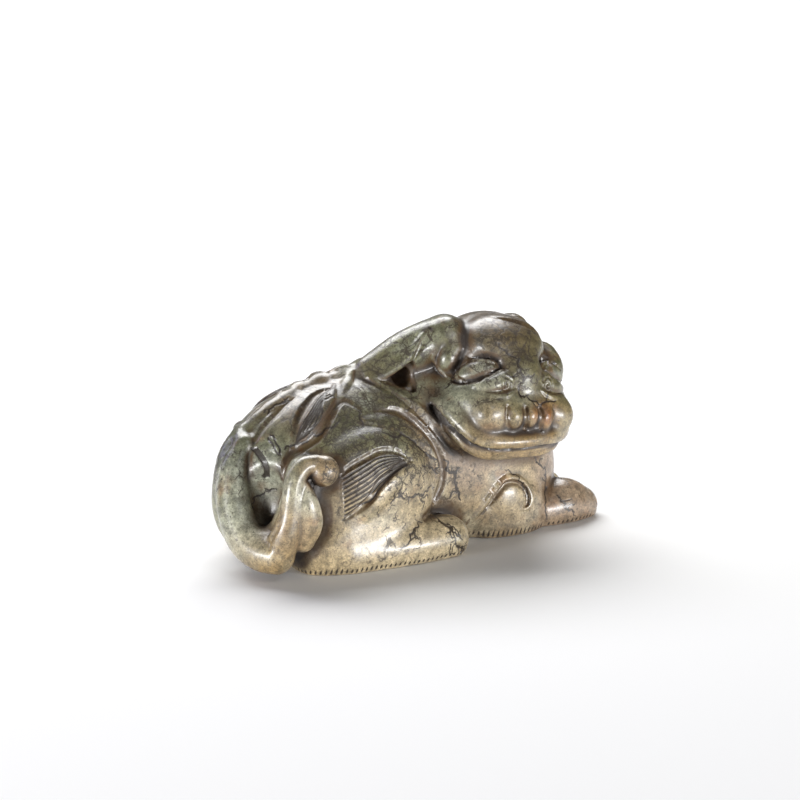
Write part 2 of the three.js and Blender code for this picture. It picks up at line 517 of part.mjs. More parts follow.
// Groups the crossed edges of a cell into sheets: across each face, crossed edges pair up.
// Where all four edges of a face are crossed, each pair goes round one inside corner.
function sheetsOf(inside) {
  const group = CELL_EDGES.map(([a, b], i) => (inside[a] !== inside[b] ? i : -1));
  const merge = (a, b) => {
    const [from, to] = [group[a], group[b]];
    group.forEach((g, i) => {
      if (g === from) group[i] = to;
    });
  };
  CELL_FACES.forEach((face, f) => {
    const crossed = FACE_EDGES[f].filter((e) => group[e] >= 0);
    if (crossed.length === 2) merge(crossed[0], crossed[1]);
    if (crossed.length === 4) {
      face.forEach((corner, i) => {
        if (inside[corner]) merge(FACE_EDGES[f][(i + 3) % 4], FACE_EDGES[f][i]);
      });
    }
  });
  return group;
}

const SHEETS = []; // the groups for each pattern of inside corners
for (let pattern = 0; pattern < PATTERNS; pattern++) {
  SHEETS.push(sheetsOf([...Array(8).keys()].map((corner) => Boolean(pattern & (1 << corner)))));
}

const EASING_PASSES = 3;
function meshSurface() {
  const { values, count, index, at } = sampleGrid();
  const points = [];
  const faces = [];
  const vertexOf = new Map(); // from cell number * MOST_SHEETS + sheet
  const offsets = [...Array(8).keys()].map((c) => index(c & 1, (c >> 1) & 1, c >> 2));
  const patternAt = (base) => offsets.reduce((sum, o, c) => sum | (values[base + o] < 0 ? 1 << c : 0), 0);

  function addVertices(i, j, k) {
    const base = index(i, j, k);
    const pattern = patternAt(base);
    if (pattern === 0 || pattern === PATTERNS - 1) return;
    const sums = new Map();
    SHEETS[pattern].forEach((sheet, e) => {
      if (sheet < 0) return;
      const [a, b] = CELL_EDGES[e];
      const [va, vb] = [values[base + offsets[a]], values[base + offsets[b]]];
      const t = va / (va - vb);
      const sum = sums.get(sheet) ?? [0, 0, 0, 0];
      [1, 2, 4].forEach((bit, axis) => {
        const [pa, pb] = [a & bit ? 1 : 0, b & bit ? 1 : 0];
        sum[axis] += pa + (pb - pa) * t;
      });
      sum[3] += 1;
      sums.set(sheet, sum);
    });
    const corner = at(i, j, k);
    for (const [sheet, sum] of sums) {
      vertexOf.set(base * MOST_SHEETS + sheet, points.length);
      points.push(corner.map((v, axis) => v + (GRID * sum[axis]) / sum[3]));
    }
  }

  // The vertex of the sheet that crosses edge e of the cell at base
  const sheetVertex = (base, e) => vertexOf.get(base * MOST_SHEETS + SHEETS[patternAt(base)][e]);

  const eachCell = (visit) => {
    for (let k = 0; k + 1 < count[2]; k++) {
      for (let j = 0; j + 1 < count[1]; j++) {
        for (let i = 0; i + 1 < count[0]; i++) visit(i, j, k);
      }
    }
  };
  eachCell(addVertices);

  const strides = [index(1, 0, 0), index(0, 1, 0), index(0, 0, 1)];
  eachCell((i, j, k) => {
    const cell = [i, j, k];
    const base = index(i, j, k);
    for (let axis = 0; axis < 3; axis++) {
      const [u, v] = [(axis + 1) % 3, (axis + 2) % 3];
      if (cell[u] === 0 || cell[v] === 0) continue;
      const start = values[base] < 0;
      if (start === values[base + strides[axis]] < 0) continue;
      const ring = [[0, 0], [1, 0], [1, 1], [0, 1]].map(([du, dv]) => {
        const from = (du << u) | (dv << v);
        const e = edgeNumber(from, from | (1 << axis));
        return sheetVertex(base - du * strides[u] - dv * strides[v], e);
      });
      if (!start) ring.reverse();
      addQuad(faces, points, ring);
    }
  });
  for (let turn = 0; turn < EASING_PASSES; turn++) {
    points.forEach(layPoint);
    easePoints(points, faces);
  }
  return { points, faces };
}

// A four-sided face becomes two triangles, split along its shorter diagonal.
function addQuad(faces, points, [a, b, c, d]) {
  const gap = (p, q) => Math.hypot(...points[p].map((v, i) => v - points[q][i]));
  if (gap(a, c) < gap(b, d)) faces.push([a, b, c], [a, c, d]);
  else faces.push([a, b, d], [b, c, d]);
}

function layPoint(point) {
  const p = { x: point[0], y: point[1], z: point[2] };
  const s = slopeAt(p.x, p.y, p.z);
  const move = Math.min(Math.max(s.depth / s.steepness, -GRID / 4), GRID / 4);
  point[0] -= s.gx * move;
  point[1] -= s.gy * move;
  point[2] -= s.gz * move;
}

// Each point goes half-way to the middle of its neighbours, so that creases run evenly.
function easePoints(points, faces) {
  const sums = points.map(() => [0, 0, 0]);
  const counts = points.map(() => 0);
  for (const [a, b, c] of faces) {
    for (const [p, q] of [[a, b], [b, c], [c, a]]) {
      sums[p].forEach((_, axis) => { sums[p][axis] += points[q][axis]; });
      counts[p] += 1;
    }
  }
  points.forEach((point, i) => {
    sums[i].forEach((sum, axis) => { point[axis] = (point[axis] + sum / counts[i]) / 2; });
  });
}

// Thinning. Each vertex carries the planes of the faces that it stands for. An edge costs
// the mean squared distance from where it would be closed up to those planes. The cheapest
// edge is closed up, again and again, until the goal is met.
const SHAPE_WEIGHT = 2e-4; // a little of the edge's length, so that flat places stay even
const AREA = 10; // where a sum holds the area of its faces
const LEAST_COSINE = 0.25; // of the most that a face may turn in one step
const LEAST_AREA = 1e-4;
const FLATNESS = 1e-4; // below this the planes have no clear meeting point

function planeSum(points, [a, b, c]) {
  const [pa, pb, pc] = [points[a], points[b], points[c]].map((p) => new THREE.Vector3(...p));
  const normal = pb.clone().sub(pa).cross(pc.clone().sub(pa));
  const area = normal.length() / 2;
  normal.normalize();
  const { x, y, z } = normal;
  const d = -normal.dot(pa);
  return [x * x, x * y, x * z, x * d, y * y, y * z, y * d, z * z, z * d, d * d, 1].map((v) => v * area);
}

function errorAt(q, [x, y, z]) {
  return q[0] * x * x + 2 * q[1] * x * y + 2 * q[2] * x * z + 2 * q[3] * x + q[4] * y * y
    + 2 * q[5] * y * z + 2 * q[6] * y + q[7] * z * z + 2 * q[8] * z + q[9];
}

function bestPlace(q, pa, pb) {
  const middle = pa.map((v, i) => (v + pb[i]) / 2);
  const [a, b, c, d, e, f] = [q[0], q[1], q[2], q[4], q[5], q[7]];
  const det = a * (d * f - e * e) - b * (b * f - e * c) + c * (b * e - d * c);
  const scale = (a + d + f) ** 3;
  if (Math.abs(det) < FLATNESS * scale) return middle;
  const [r, s, t] = [-q[3], -q[6], -q[8]];
  const place = [
    (r * (d * f - e * e) - b * (s * f - e * t) + c * (s * e - d * t)) / det,
    (a * (s * f - e * t) - r * (b * f - e * c) + c * (b * t - s * c)) / det,
    (a * (d * t - s * e) - b * (b * t - s * c) + r * (b * e - d * c)) / det,
  ];
  const stray = Math.hypot(...place.map((v, i) => v - middle[i]));
  const length = Math.hypot(...pa.map((v, i) => v - pb[i]));
  return stray > length ? middle : place;
}

// A queue that gives back the cheapest entry first
class Queue {
  constructor() {
    this.items = [];
  }

  push(item) {
    const { items } = this;
    let i = items.length;
    items.push(item);
    while (i > 0) {
      const parent = (i - 1) >> 1;
      if (items[parent].cost <= item.cost) break;
      items[i] = items[parent];
      i = parent;
    }
    items[i] = item;
  }

  pop() {
    const { items } = this;
    const top = items[0];
    const last = items.pop();
    if (items.length === 0) return top;
    let i = 0;
    for (;;) {
      let child = 2 * i + 1;
      if (child >= items.length) break;
      if (child + 1 < items.length && items[child + 1].cost < items[child].cost) child += 1;
      if (items[child].cost >= last.cost) break;
      items[i] = items[child];
      i = child;
    }
    items[i] = last;
    return top;
  }
}

function thin({ points, faces }, goal) {
  const sums = points.map(() => new Array(AREA + 1).fill(0));
  const round = points.map(() => new Set()); // the faces round each vertex
  faces.forEach((face, f) => {
    const sum = planeSum(points, face);
    for (const v of face) {
      sum.forEach((value, i) => { sums[v][i] += value; });
      round[v].add(f);
    }
  });
  const stamp = new Int32Array(points.length);
  const queue = new Queue();

  const neighbours = (v) => {
    const found = new Set([...round[v]].flatMap((f) => faces[f]));
    found.delete(v);
    return found;
  };
  const enqueue = (a, b) => {
    const sum = sums[a].map((value, i) => value + sums[b][i]);
    const place = bestPlace(sum, points[a], points[b]);
    const length = Math.hypot(...points[a].map((v, i) => v - points[b][i]));
    const cost = Math.max(errorAt(sum, place), 0) / sum[AREA] + SHAPE_WEIGHT * length ** 2;
    queue.push({ cost, a, b, sum, place, stamps: [stamp[a], stamp[b]] });
  };
  const normalOf = (face, v, place) => {
    const [p, q, r] = face.map((w) => new THREE.Vector3(...(w === v ? place : points[w])));
    return q.sub(p).cross(r.sub(p));
  };
  const turnsTooFar = (v, other, place) => {
    for (const f of round[v]) {
      if (faces[f].includes(other)) continue;
      const before = normalOf(faces[f], v, points[v]);
      const after = normalOf(faces[f], v, place);
      const product = before.length() * after.length();
      if (before.dot(after) < LEAST_COSINE * product || after.length() < LEAST_AREA) return true;
    }
    return false;
  };

  faces.forEach(([a, b, c]) => {
    for (const [p, q] of [[a, b], [b, c], [c, a]]) {
      if (p < q) enqueue(p, q);
    }
  });
  let left = faces.length;
  while (left > goal && queue.items.length > 0) {
    const { a, b, sum, place, stamps } = queue.pop();
    if (stamp[a] !== stamps[0] || stamp[b] !== stamps[1]) continue;
    const around = neighbours(b);
    const shared = [...neighbours(a)].filter((v) => around.has(v));
    if (shared.length !== 2) continue;
    if (turnsTooFar(a, b, place) || turnsTooFar(b, a, place)) continue;
    for (const f of round[b]) {
      if (faces[f].includes(a)) {
        faces[f].filter((v) => v !== b).forEach((v) => round[v].delete(f));
        faces[f] = null;
        left -= 1;
      } else {
        faces[f] = faces[f].map((v) => (v === b ? a : v));
        round[a].add(f);
      }
    }
    round[b].clear();
    points[a] = place;
    sums[a] = sum;
    stamp[a] += 1;
    stamp[b] = -1;
    for (const v of neighbours(a)) enqueue(a, v);
  }
  return { points, faces: faces.filter(Boolean) };
}

// Geometry: the thinned surface, cut flat at the base and moved onto the origin
function solidOf(wasm, positions, triangles) {
  return new wasm.Manifold(new wasm.Mesh({
    numProp: 3,
    vertProperties: Float32Array.from(positions),
    triVerts: Uint32Array.from(triangles),
  }));
}

function baseBlock(wasm) {
  const size = EXTENT.max.map((v, i) => v - EXTENT.min[i]);
  const box = new THREE.BoxGeometry(size[0], size[1], BASE_DEPTH);
  box.translate(0, 0, -BASE_DEPTH / 2);
  const corners = [];
  const numbers = new Map();
  const place = box.getAttribute('position');
  const triangles = [...box.getIndex().array].map((v) => {
    const corner = [place.getX(v), place.getY(v), place.getZ(v)];
    const key = corner.join();
    if (!numbers.has(key)) {
      numbers.set(key, numbers.size);
      corners.push(...corner);
    }
    return numbers.get(key);
  });
  return solidOf(wasm, corners, triangles);
}

// Leaves out the points that no face uses any more
function packed({ points, faces }) {
  const used = [...new Set(faces.flat())];
  const numbers = new Map(used.map((v, i) => [v, i]));
  return { positions: used.flatMap((v) => points[v]), triangles: faces.flat().map((v) => numbers.get(v)) };
}

// The outer skin alone: where two folds nearly meet, thinning can shut in a speck of air.
function outerSkin({ vertProperties, triVerts }) {
  const three = (list, i) => [...list.subarray(3 * i, 3 * i + 3)];
  const inThrees = (list) => Array.from({ length: list.length / 3 }, (_, i) => three(list, i));
  const points = inThrees(vertProperties);
  const faces = inThrees(triVerts);
  const leader = points.map((_, i) => i);
  const leaderOf = (v) => {
    let top = v;
    while (leader[top] !== top) top = leader[top];
    leader[v] = top;
    return top;
  };
  for (const [a, b, c] of faces) {
    leader[leaderOf(b)] = leaderOf(a);
    leader[leaderOf(c)] = leaderOf(a);
  }
  const sizes = new Map();
  faces.forEach(([a]) => sizes.set(leaderOf(a), (sizes.get(leaderOf(a)) ?? 0) + 1));
  const [skin] = [...sizes].reduce((best, entry) => (entry[1] > best[1] ? entry : best));
  return { points, faces: faces.filter(([a]) => leaderOf(a) === skin) };
}

// Two folds that touch at a point are drawn apart there, each into its own stone.
const TOUCH_GAP = 0.03; // mm that each point moves
function partFolds(geometry) {
  geometry.computeVertexNormals();
  const place = geometry.getAttribute('position');
  const normal = geometry.getAttribute('normal');
  const point = (i) => new THREE.Vector3().fromBufferAttribute(place, i);
  const meeting = new Map(); // the vertices at each place
  for (let i = 0; i < place.count; i++) {
    const key = point(i).toArray().join();
    meeting.set(key, [...(meeting.get(key) ?? []), i]);
  }
  for (const i of [...meeting.values()].filter((vertices) => vertices.length > 1).flat()) {
    const inward = new THREE.Vector3().fromBufferAttribute(normal, i).multiplyScalar(-TOUCH_GAP);
    place.setXYZ(i, ...point(i).add(inward).toArray());
  }
}

const wasm = await Module();
wasm.setup();
carveLion();
const worked = packed(thin(meshSurface(), FACES));
const stone = solidOf(wasm, worked.positions, worked.triangles);
const rested = packed(outerSkin(stone.subtract(baseBlock(wasm)).getMesh()));

const geometry = new THREE.BufferGeometry();
geometry.setAttribute('position', new THREE.Float32BufferAttribute(rested.positions, 3));
geometry.setIndex(rested.triangles);
geometry.translate(-MIDDLE[0], -MIDDLE[1], 0);
partFolds(geometry);
geometry.computeVertexNormals();

const lion = new THREE.Mesh(geometry, new THREE.MeshStandardMaterial(JADE));
lion.name = 'jade_lion';

const carving = new THREE.Group();
carving.add(lion);

export default carving;
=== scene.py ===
# %% [markdown]
# # A jade lion, carved in Blender
# The real thing is a small lion cut from one pebble of jade, lying down with its head turned
# to one side. It was ground, never cast or modelled, so every crease is a groove that a wheel
# has cut and every lock of hair is a low swelling with a cut edge. This lesson carves it the
# same way, in numbers: a depth field is built from rounded masses, cuts and raised bands, the
# skin of that field is meshed finely, and the finest lines are cut last with Geometry Nodes.
# Jade has no grain that a picture could wrap round it, so its colours, veins and cracks are
# painted in places on the stone and broken up by noise.

# %%
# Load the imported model
import json
import math

import bpy
import numpy as np
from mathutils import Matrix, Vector

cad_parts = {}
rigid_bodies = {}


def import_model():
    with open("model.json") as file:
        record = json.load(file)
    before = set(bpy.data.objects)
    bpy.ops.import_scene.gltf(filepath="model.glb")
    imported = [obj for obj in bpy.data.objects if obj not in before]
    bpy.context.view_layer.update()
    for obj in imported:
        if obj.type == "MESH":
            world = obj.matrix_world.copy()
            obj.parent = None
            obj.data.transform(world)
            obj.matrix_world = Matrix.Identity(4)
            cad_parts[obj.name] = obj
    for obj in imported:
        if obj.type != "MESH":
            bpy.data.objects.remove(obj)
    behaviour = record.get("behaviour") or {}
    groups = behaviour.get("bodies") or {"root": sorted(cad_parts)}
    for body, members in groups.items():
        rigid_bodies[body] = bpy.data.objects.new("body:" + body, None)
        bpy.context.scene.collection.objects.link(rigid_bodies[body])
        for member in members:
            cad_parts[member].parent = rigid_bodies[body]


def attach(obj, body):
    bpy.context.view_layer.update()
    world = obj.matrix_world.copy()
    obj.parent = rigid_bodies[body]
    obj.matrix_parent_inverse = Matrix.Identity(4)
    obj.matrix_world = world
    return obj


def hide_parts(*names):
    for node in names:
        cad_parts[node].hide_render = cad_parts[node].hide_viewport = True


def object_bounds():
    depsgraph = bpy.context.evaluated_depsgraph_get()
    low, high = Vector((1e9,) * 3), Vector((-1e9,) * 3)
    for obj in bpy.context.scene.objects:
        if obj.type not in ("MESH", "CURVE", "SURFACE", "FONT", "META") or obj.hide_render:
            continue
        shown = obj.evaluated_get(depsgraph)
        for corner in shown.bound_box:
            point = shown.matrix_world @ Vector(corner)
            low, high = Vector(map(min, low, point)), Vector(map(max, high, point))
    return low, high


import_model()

CAD_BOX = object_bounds()
NODE = "jade_lion"
MM = 0.001
MIDDLE = (-0.645, -0.915)  # mm, where the model's origin lies in the carver's frame
print("model box, mm:", [[round(v / MM, 2) for v in corner] for corner in CAD_BOX])


def to_metres(point):
    """A point of the carver's frame, in mm, as a place in the scene."""
    return Vector((point[0] - MIDDLE[0], point[1] - MIDDLE[1], point[2])) * MM


# %% [markdown]
# ## Camera
# The picture was taken from a little above, from the lion's right rear, with a long lens, as
# small things usually are. The camera stands where those lines of sight meet, and the lens
# is worked out from how many pixels one millimetre covers at the middle of the stone.

# %%
# Place the camera
AIM = (0, 0, 29.7)  # mm
CAMERA_TURN = math.radians(-30)
CAMERA_RISE = math.radians(15)
CAMERA_DISTANCE = 800  # mm
PIXELS_PER_MM = 4.7
FRAME_PIXELS = 800
SENSOR = 36


def direction(turn, rise):
    """The way out from the stone at a turn and a rise in radians; turn 0 faces its right side."""
    flat = math.cos(rise)
    return Vector((math.sin(turn) * flat, -math.cos(turn) * flat, math.sin(rise)))


def aim(thing, target):
    thing.rotation_euler = (target - thing.location).to_track_quat("-Z", "Y").to_euler()


def make_camera():
    data = bpy.data.cameras.new("camera")
    data.sensor_width = SENSOR
    data.lens = PIXELS_PER_MM * CAMERA_DISTANCE / FRAME_PIXELS * SENSOR
    camera = bpy.data.objects.new("camera", data)
    bpy.context.scene.collection.objects.link(camera)
    camera.location = to_metres(AIM) + direction(CAMERA_TURN, CAMERA_RISE) * CAMERA_DISTANCE * MM
    aim(camera, to_metres(AIM))
    bpy.context.scene.camera = camera
    return camera


camera = make_camera()
print("lens, mm:", round(camera.data.lens, 1))

# %% [markdown]
# ## The stone as a depth field
# A carver thinks in masses first. Each step below takes the depth of the stone at a crowd of
# points, negative inside, and changes it. A ball adds or cuts an ellipsoid, or a boxier solid.
# A strand adds or cuts a round rod along a smooth line. A relief raises or sinks the skin in a
# band along a line that is first laid onto the stone as carved so far. Joins are rounded over
# a blend width, because a polished stone has no sharp inner corner. Working on arrays of
# points keeps all of this fast.

# %%
# Rules of the depth field
FAR_OUTSIDE = 30.0
TINY = 1e-6
STRETCHES = 5  # straight stretches between two points of a smooth line
PROBE = 0.4  # mm to each side, when the slope is felt
AXES = np.eye(3, dtype=np.float32)


def turned(yaw=0, pitch=0, roll=0):
    """A turn about the upright, crosswise and lengthwise axes, in degrees."""
    a, b, c = np.radians([yaw, pitch, roll])
    about_z = np.array([[np.cos(a), -np.sin(a), 0], [np.sin(a), np.cos(a), 0], [0, 0, 1]])
    about_x = np.array([[1, 0, 0], [0, np.cos(b), -np.sin(b)], [0, np.sin(b), np.cos(b)]])
    about_y = np.array([[np.cos(c), 0, np.sin(c)], [0, 1, 0], [-np.sin(c), 0, np.cos(c)]])
    return about_z @ about_x @ about_y


def joined(a, b, blend):
    """The smaller of two depths, with the corner between them rounded."""
    near = np.maximum(blend - np.abs(a - b), 0) / blend
    return np.minimum(a, b) - near * near * blend / 4


def combined(depth, value, form):
    if form.get("cut"):
        return -joined(-depth, value, form["blend"])
    return joined(depth, value, form["blend"])


def eased(t):
    """From 0 to 1 with a soft start and end."""
    t = np.clip(t, 0, 1)
    return t * t * (3 - 2 * t)


def smooth_line(points):
    """Points along a Catmull-Rom curve through the given ones, whatever their columns hold."""
    p = np.asarray(points, float)
    if len(p) < 3:
        return p
    q = np.vstack([2 * p[0] - p[1], p, 2 * p[-1] - p[-2]])
    t = (np.arange(STRETCHES) / STRETCHES)[:, None]
    pieces = []
    for a, b, c, d in zip(q, q[1:], q[2:], q[3:]):
        bend = a - 2.5 * b + 2 * c - d / 2
        twist = 1.5 * (b - c) + (d - a) / 2
        pieces.append(b + t * (c - a) / 2 + t**2 * bend + t**3 * twist)
    return np.vstack(pieces + [p[-1:]])


def nearest_on_line(points, line):
    """For each point: distance to the line, which stretch is nearest, and how far along it."""
    best = np.full(len(points), np.inf, np.float32)
    stretch = np.zeros(len(points), int)
    along = np.zeros(len(points), np.float32)
    for i, (a, b) in enumerate(zip(line[:-1, :3], line[1:, :3])):
        way = (b - a).astype(np.float32)
        t = np.clip((points - a.astype(np.float32)) @ way / (way @ way + TINY), 0, 1)
        distance = np.linalg.norm(points - a.astype(np.float32) - t[:, None] * way, axis=1)
        closer = distance < best
        best[closer] = distance[closer]
        stretch[closer] = i
        along[closer] = t[closer]
    return best, stretch, along


def inside_band(points, line):
    """How far each point is inside the band round a line whose last column is its width."""
    best = np.full(len(points), -np.inf, np.float32)
    for a, b in zip(line[:-1], line[1:]):
        start, way = a[:3].astype(np.float32), (b - a)[:3].astype(np.float32)
        t = np.clip((points - start) @ way / (way @ way + TINY), 0, 1)
        off = points - start - t[:, None] * way
        best = np.maximum(best, a[3] + (b[3] - a[3]) * t - np.sqrt((off * off).sum(1)))
    return best


class Stone:
    """The depth field: an ordered list of steps, each with the box that it reaches."""

    def __init__(self):
        self.steps = []

    def depth(self, points):
        depth = np.full(len(points), FAR_OUTSIDE, np.float32)
        for low, high, rule in self.steps:
            near = np.flatnonzero(((points > low) & (points < high)).all(1))
            if len(near):
                depth[near] = rule(points[near], depth[near])
        return depth

    def slope(self, points):
        """The steepest way out at each point, a vector of about length 1."""
        sides = [self.depth(points + PROBE * s * axis) for axis in AXES for s in (1, -1)]
        return np.stack([sides[i] - sides[i + 1] for i in (0, 2, 4)], 1) / (2 * PROBE)

    def lay(self, points, turns=6, longest=1.5):
        """Moves points along the slope until they lie on the skin of the stone."""
        points = np.array(points, np.float32)
        for _ in range(turns):
            way = self.slope(points)
            move = self.depth(points) / ((way * way).sum(1) + 1e-3)
            points -= way * np.clip(move, -longest, longest)[:, None]
        return points

    def add(self, low, high, reach, rule):
        self.steps.append((np.float32(low) - reach, np.float32(high) + reach, rule))

    def carve(self, forms, place=(0, 0, 0), turn=None):
        """Carves forms in the body's own frame, or in a frame at a place and a turn."""
        across = 1 if turn is None else 0  # the body is mirrored across y, the face across x
        turn = np.eye(3) if turn is None else turn
        for form in forms:
            for side in (1, -1) if form.get("pair") else (1,):
                mirror = np.ones(3)
                mirror[across] = side
                if "size" in form:
                    self.ball(form, side, across, mirror, place, turn)
                else:
                    self.line(form, mirror, place, turn)

    def ball(self, form, side, across, mirror, place, turn):
        square = form.get("square", 2)
        size = np.float32(form["size"])
        pitch = form.get("pitch", 0) * (side if across == 1 else 1)
        roll = form.get("roll", 0) * (side if across == 0 else 1)
        own = (turn @ turned(form.get("yaw", 0) * side, pitch, roll)).astype(np.float32)
        centre = np.float32(place + (np.array(form["at"]) * mirror) @ turn.T)
        reach = np.sqrt(((own * size) ** 2).sum(1)) * (1 if square == 2 else 1.2)

        def rule(points, depth):
            q = np.abs((points - centre) @ own) / size
            radius = ((q**square).sum(1) + TINY) ** (1 / square)
            steepness = np.sqrt(((q ** (square - 1) / size) ** 2).sum(1)) / radius ** (square - 1)
            return combined(depth, (radius - 1) / (steepness + TINY), form)

        self.add(centre - reach, centre + reach, form["blend"] + 3, rule)

    def line(self, form, mirror, place, turn):
        points = np.array(form["along"], float) * mirror
        widths = np.atleast_1d(form.get("radius", form.get("half")))
        shares = np.linspace(0, 1, len(points))
        width = np.interp(shares, np.linspace(0, 1, len(widths)), widths)
        line = smooth_line(np.column_stack([place + points @ turn.T, width]))
        reach = line[:, 3].max()
        if "radius" in form:
            reach += form["blend"] + 2

            def rule(points, depth):
                return combined(depth, -inside_band(points, line), form)
        else:
            reach += 0.3
            line[:, :3] = self.lay(line[:, :3])

            def rule(points, depth):
                return depth - form["lift"] * eased(inside_band(points, line) / form["edge"])

        self.add(line[:, :3].min(0), line[:, :3].max(0), reach, rule)


print("rules: ball, strand and relief")

# %% [markdown]
# ## The masses
# The trunk, the folded haunches and the two forelegs are plain rounded lumps that overlap.
# They come first, since everything else is cut into them or raised on them. Sizes are in
# millimetres in the carver's own frame: x to the front, y to the lion's left, z up. A form
# marked as a pair is repeated on the other side. Many of the lines below were found by
# picking places on the photograph and working out where they lie on the stone, then rounding
# and moving them. They record one carving and don't follow a rule.

# %%
# Trunk and legs
SOFT_BLEND = 4
CLEAN_BLEND = 1.2
CRISP_BLEND = 0.5

TRUNK = [
    dict(at=(-17.5, 0.5, 15), size=(24, 17.5, 20.5), blend=SOFT_BLEND, square=2.1),
    dict(at=(-4, 0, 17), size=(20, 14.5, 20), blend=6, square=2.2),
    dict(at=(15.5, 0, 11.5), size=(21.5, 13.8, 18.5), blend=6, square=2.1),
    dict(at=(14, 0, 27), size=(14, 11, 12), blend=8),
    dict(at=(6, 2.5, 32.5), size=(15, 9.5, 9.5), blend=4),
    dict(at=(-38.5, -11, 15), size=(5.2, 5.6, 8), blend=2, cut=True),
]

LEGS = [
    dict(at=(-16, 12.5, 14), size=(15.5, 8.5, 15), blend=CLEAN_BLEND, roll=-12, square=2.2, pair=True),
    dict(at=(-18, 13, 4), size=(15, 8, 8), blend=3, square=2.6, pair=True),
    dict(along=[(-22, 16.5, 3), (-8, 17.3, 3.5), (1, 17.3, 3.5)], radius=(5, 5.5, 5),
         blend=CLEAN_BLEND, pair=True),
    dict(at=(20.5, 9, 4.5), size=(9.5, 5.6, 9), blend=1, square=2.3, pair=True),
    dict(along=[(27, 7, 2.4), (35.5, 7.2, 3.2), (40.6, 7, 2.2)], radius=(5, 5.8, 4.4),
         blend=CLEAN_BLEND, pair=True),
]

stone = Stone()
stone.carve(TRUNK)
stone.carve(LEGS)
print("steps in the trunk and legs:", len(stone.steps))

# %% [markdown]
# ## The head
# The head is turned square to the body and tilted, so its forms are given in its own frame:
# x across the face, minus y out of it. The near ear lies back over the neck, with a pocket
# cut under it. The eye is a lens set in a socket, with a curled lid beside it, and the broad
# muzzle is a row of pads between two nostrils above a long upper lip.

# %%
# Skull, ears and face
HEAD_AT = (18.3, -5, 33.27)
HEAD_TURN = turned(yaw=2, roll=9)
NOTCH = dict(lift=-0.8, edge=0.7)

SKULL = [
    dict(at=(0.3, 1, 3), size=(12.3, 13, 11.2), blend=SOFT_BLEND),
    dict(at=(0, -4, -4.5), size=(15, 14, 8), blend=3, square=2.6),
    dict(at=(0, -3, -9.5), size=(14.6, 13.4, 5.2), blend=2, square=2.6),
]

NEAR_EAR = [
    dict(along=[(9, -3, 43), (0, -3, 41), (-8, -1.5, 37)], radius=(5, 4.6, 3.8), blend=2),
    dict(at=(-3.2, -5.4, 36.6), size=(2.2, 5.4, 2.1), blend=0.6, roll=-35, cut=True),
    dict(along=[(-6.3, -6.3, 36.6), (-3.5, -5.8, 37.6), (-2, -7, 38.8), (-1.9, -7.4, 36.4), (-2, -8.2, 34),
         (-4, -6.8, 35.4)], radius=(0.3, 1, 1.3, 1.3, 0.7, 0.6), blend=0.4, cut=True),
    dict(along=[(4.5, -6.4, 46.2), (1.7, -6.6, 44.8), (-0.4, -7.2, 43.1), (-2.1, -7.2, 40.9),
         (-4.6, -6.5, 38.9), (-7.1, -5.9, 37.6), (-9.7, -5.2, 37.3), (-11, -3.3, 38)],
         half=(0.6, 1.3, 1.5, 1.5, 1.3, 0.6), lift=0.6, edge=1.3),
    dict(along=[(2, -6.2, 46.5), (-1.5, -6.6, 44), (-4, -6, 41.6), (-7.5, -4.6, 39.4)],
         half=(0.6, 1.6, 1.6, 0.6), lift=-0.3, edge=1.6),
    dict(along=[(5.6, -5.6, 46.6), (2.6, -6.6, 45.3), (0.8, -7.4, 43.4), (-0.6, -7.9, 41), (-1.4, -8, 39.4)],
         half=(0.4, 0.9, 1, 0.9, 0.5), lift=-0.9, edge=0.9),
]

BROW = [
    dict(at=(-0.3, -5, 8.5), size=(9, 6.8, 5.2), blend=1.5, pitch=25, square=2.3),
    dict(at=(0.3, -9.6, 2.6), size=(5.8, 6.2, 5.2), blend=2.5, square=2.2),
]

EYES = [
    dict(at=(-9.3, -9.7, 3.7), size=(5.4, 2.3, 3), blend=1.2, yaw=-36, roll=-24, cut=True, pair=True),
    dict(at=(-8.6, -8.8, 2.8), size=(4.9, 2.7, 2.8), blend=0.3, yaw=-36, roll=-24, pair=True),
    dict(at=(-4.7, -13.2, 1.8), size=(2.9, 2.4, 2.7), blend=0.4, pair=True),
    dict(along=[(-11, -5.3, 3.2), (-9.8, -6.4, 4.9), (-9, -9.2, 5.7), (-7.3, -10.8, 6), (-5, -11, 5.4)],
         half=(0.3, 0.7, 0.7, 0.7, 0.3), lift=0.4, edge=0.6, pair=True),
    dict(along=[(-11.1, -13.5, -0.3), (-9.5, -15.4, -0.1), (-7.5, -16.5, -0.3), (-5.4, -16.7, 0),
         (-3.2, -16, 1)], half=(0.2, 0.6, 0.8, 0.8, 0.4), lift=0.6, edge=0.7, pair=True),
    dict(along=[(-12.6, -3.2, 6.6), (-13.2, -3, 4.6), (-12.9, -4, 2.6), (-11.9, -6.2, 0.9)],
         half=(2.4, 2.7, 1.8, 0.3), lift=0.6, edge=2.2, pair=True),
    dict(at=(-12.7, -3.2, 4.6), size=(2.3, 2.4, 3.3), blend=0.9, pair=True),
    dict(at=(-11.3, -3.3, 7.2), size=(1.6, 1.7, 1.6), blend=1.5, pair=True),
    dict(along=[(-14.5, -2, 7), (-15.6, -2.2, 4.8), (-14.9, -2, 3.3), (-13.7, -3.9, 1.6), (-12.5, -6.3, 0.5)],
         half=(0.3, 0.6, 0.7, 0.7, 0.4), lift=0.5, edge=0.7, pair=True),
]

